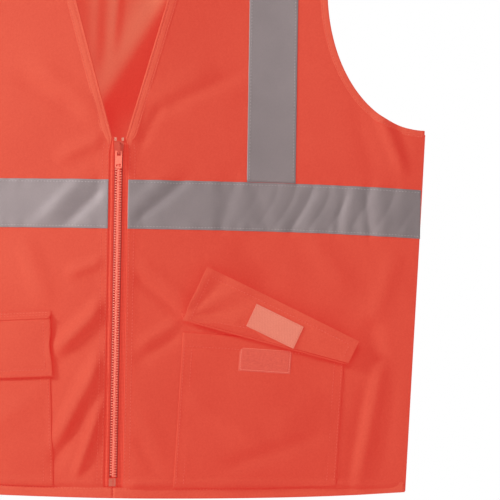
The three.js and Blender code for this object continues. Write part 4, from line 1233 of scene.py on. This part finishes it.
def zip_cord(side):
    """The round cord along the tape's edge that the teeth are moulded on, dark as painted shade between the
    teeth.
    """
    name = SIDE_NAME[side]
    low, high = corners(name + "_zip_teeth")
    line = zip_point(side * 3.2, 0.7, np.array([low[2], high[2]]))
    forward = np.tile(zip_point(0.0, 1.0, 0.0) - zip_point(0.0, 0.0, 0.0), (2, 1))
    inward = np.tile([1.0, 0.0, 0.0], (2, 1))
    section = 0.95 * np.stack(ring(10), axis=1)
    cord = sweep_object(name + "_zip_cord", line, inward, forward, section, ZIP_CORD)
    put(cord, ride_on(name + "_front"), "zip_tape")


def dress_cad_node(node, material, bevel_mm):
    """Keeps a CAD solid, with softened edges and its own finish."""
    obj = frame["nodes"][node]
    obj.data.materials.clear()
    obj.data.materials.append(material)
    bevel = obj.modifiers.new("soft_edges", "BEVEL")
    bevel.width = bevel_mm * MM
    bevel.segments = 3
    bevel.limit_method = "ANGLE"
    bevel.angle_limit = math.radians(35)


def zip_hardware():
    for node, material, bevel_mm in (
        ("slider_front", SHADED_SLIDER, 0.4),
        ("slider_back", SHADED_SLIDER, 0.4),
        ("pull_tab", PULL, 0.3),
        ("left_top_stop", STOP, 0.3),
        ("right_top_stop", STOP, 0.3),
        ("retainer_box", BOX, 0.4),
        ("insertion_pin", BOX, 0.4),
    ):
        dress_cad_node(node, material, bevel_mm)


# ---- stage
WORLD_LIGHT = 0.24


def area_light(name, place, aim, size, watts):
    light = bpy.data.lights.new(name, "AREA")
    light.shape = "DISK"
    light.size = size
    light.energy = watts
    obj = bpy.data.objects.new(name, light)
    obj.location = place
    obj.rotation_euler = (Vector(aim) - Vector(place)).to_track_quat("-Z", "Y").to_euler()
    bpy.context.scene.collection.objects.link(obj)


def studio():
    """The floor, a world that the camera sees as white, and three lamps."""
    low, high = cad_bounds
    middle = (low + high) / 2
    reach = 6.0 / MM
    z = low.z / MM - 12
    square = [(x * reach, y * reach, z) for x, y in ((-1, -1), (1, -1), (1, 1), (-1, 1))]
    floor = make_object("floor", square, [[0, 1, 2, 3]], floor_material())
    world = bpy.data.worlds.new("soft_white")
    world.use_nodes = True
    nodes, links = world.node_tree.nodes, world.node_tree.links
    ground = nodes["Background"]
    set_inputs(ground, {"Color": (1, 1, 1, 1)})
    seen = nodes.new("ShaderNodeLightPath").outputs["Is Camera Ray"]
    strength = nodes.new("ShaderNodeMapRange")
    set_inputs(strength, {"To Min": WORLD_LIGHT, "To Max": 1.0})
    links.new(seen, strength.inputs["Value"])
    links.new(strength.outputs["Result"], ground.inputs["Strength"])
    bpy.context.scene.world = world
    area_light("key", middle + Vector((-2.2, -1.2, 1.1)), middle, 0.7, 80)
    area_light("fill", middle + Vector((-0.3, -2.5, 1.6)), middle, 0.9, 27)
    area_light("back_key", middle + Vector((2.2, 1.5, 0.8)), middle, 0.9, 52)
    bpy.context.scene.view_settings.view_transform = "Standard"


def camera():
    """Straight on to the front, framing the wearer's left half, with the vest turned a little clockwise."""
    width = 0.508
    distance = 3.0
    front_plane = 0.035
    tilt = math.radians(-0.9)
    data = bpy.data.cameras.new("photo_view")
    data.sensor_width = 36
    data.lens = data.sensor_width * distance / width
    data.clip_end = 50
    obj = bpy.data.objects.new("photo_view", data)
    obj.location = (wide(0.4314) * MM, -distance - front_plane, tall(0.3668) * MM)
    obj.rotation_euler = (math.radians(90), tilt, 0)
    bpy.context.scene.collection.objects.link(obj)
    bpy.context.scene.camera = obj


# ---- the vest
back_shell()
back_edges()
back_waist_tape()
care_label()
for wearer_side in (LEFT, RIGHT):
    front_shell(wearer_side)
    shell_edges(wearer_side)
    seams(wearer_side)
    front_waist_tape(wearer_side)
    shoulder_tape(wearer_side)
    pocket(wearer_side)
    loop_pad(wearer_side)
    flap_root(wearer_side)
    flap(wearer_side)
    zip_tape(wearer_side)
    zip_teeth(wearer_side)
    zip_cord(wearer_side)
zip_hardware()
studio()
camera()
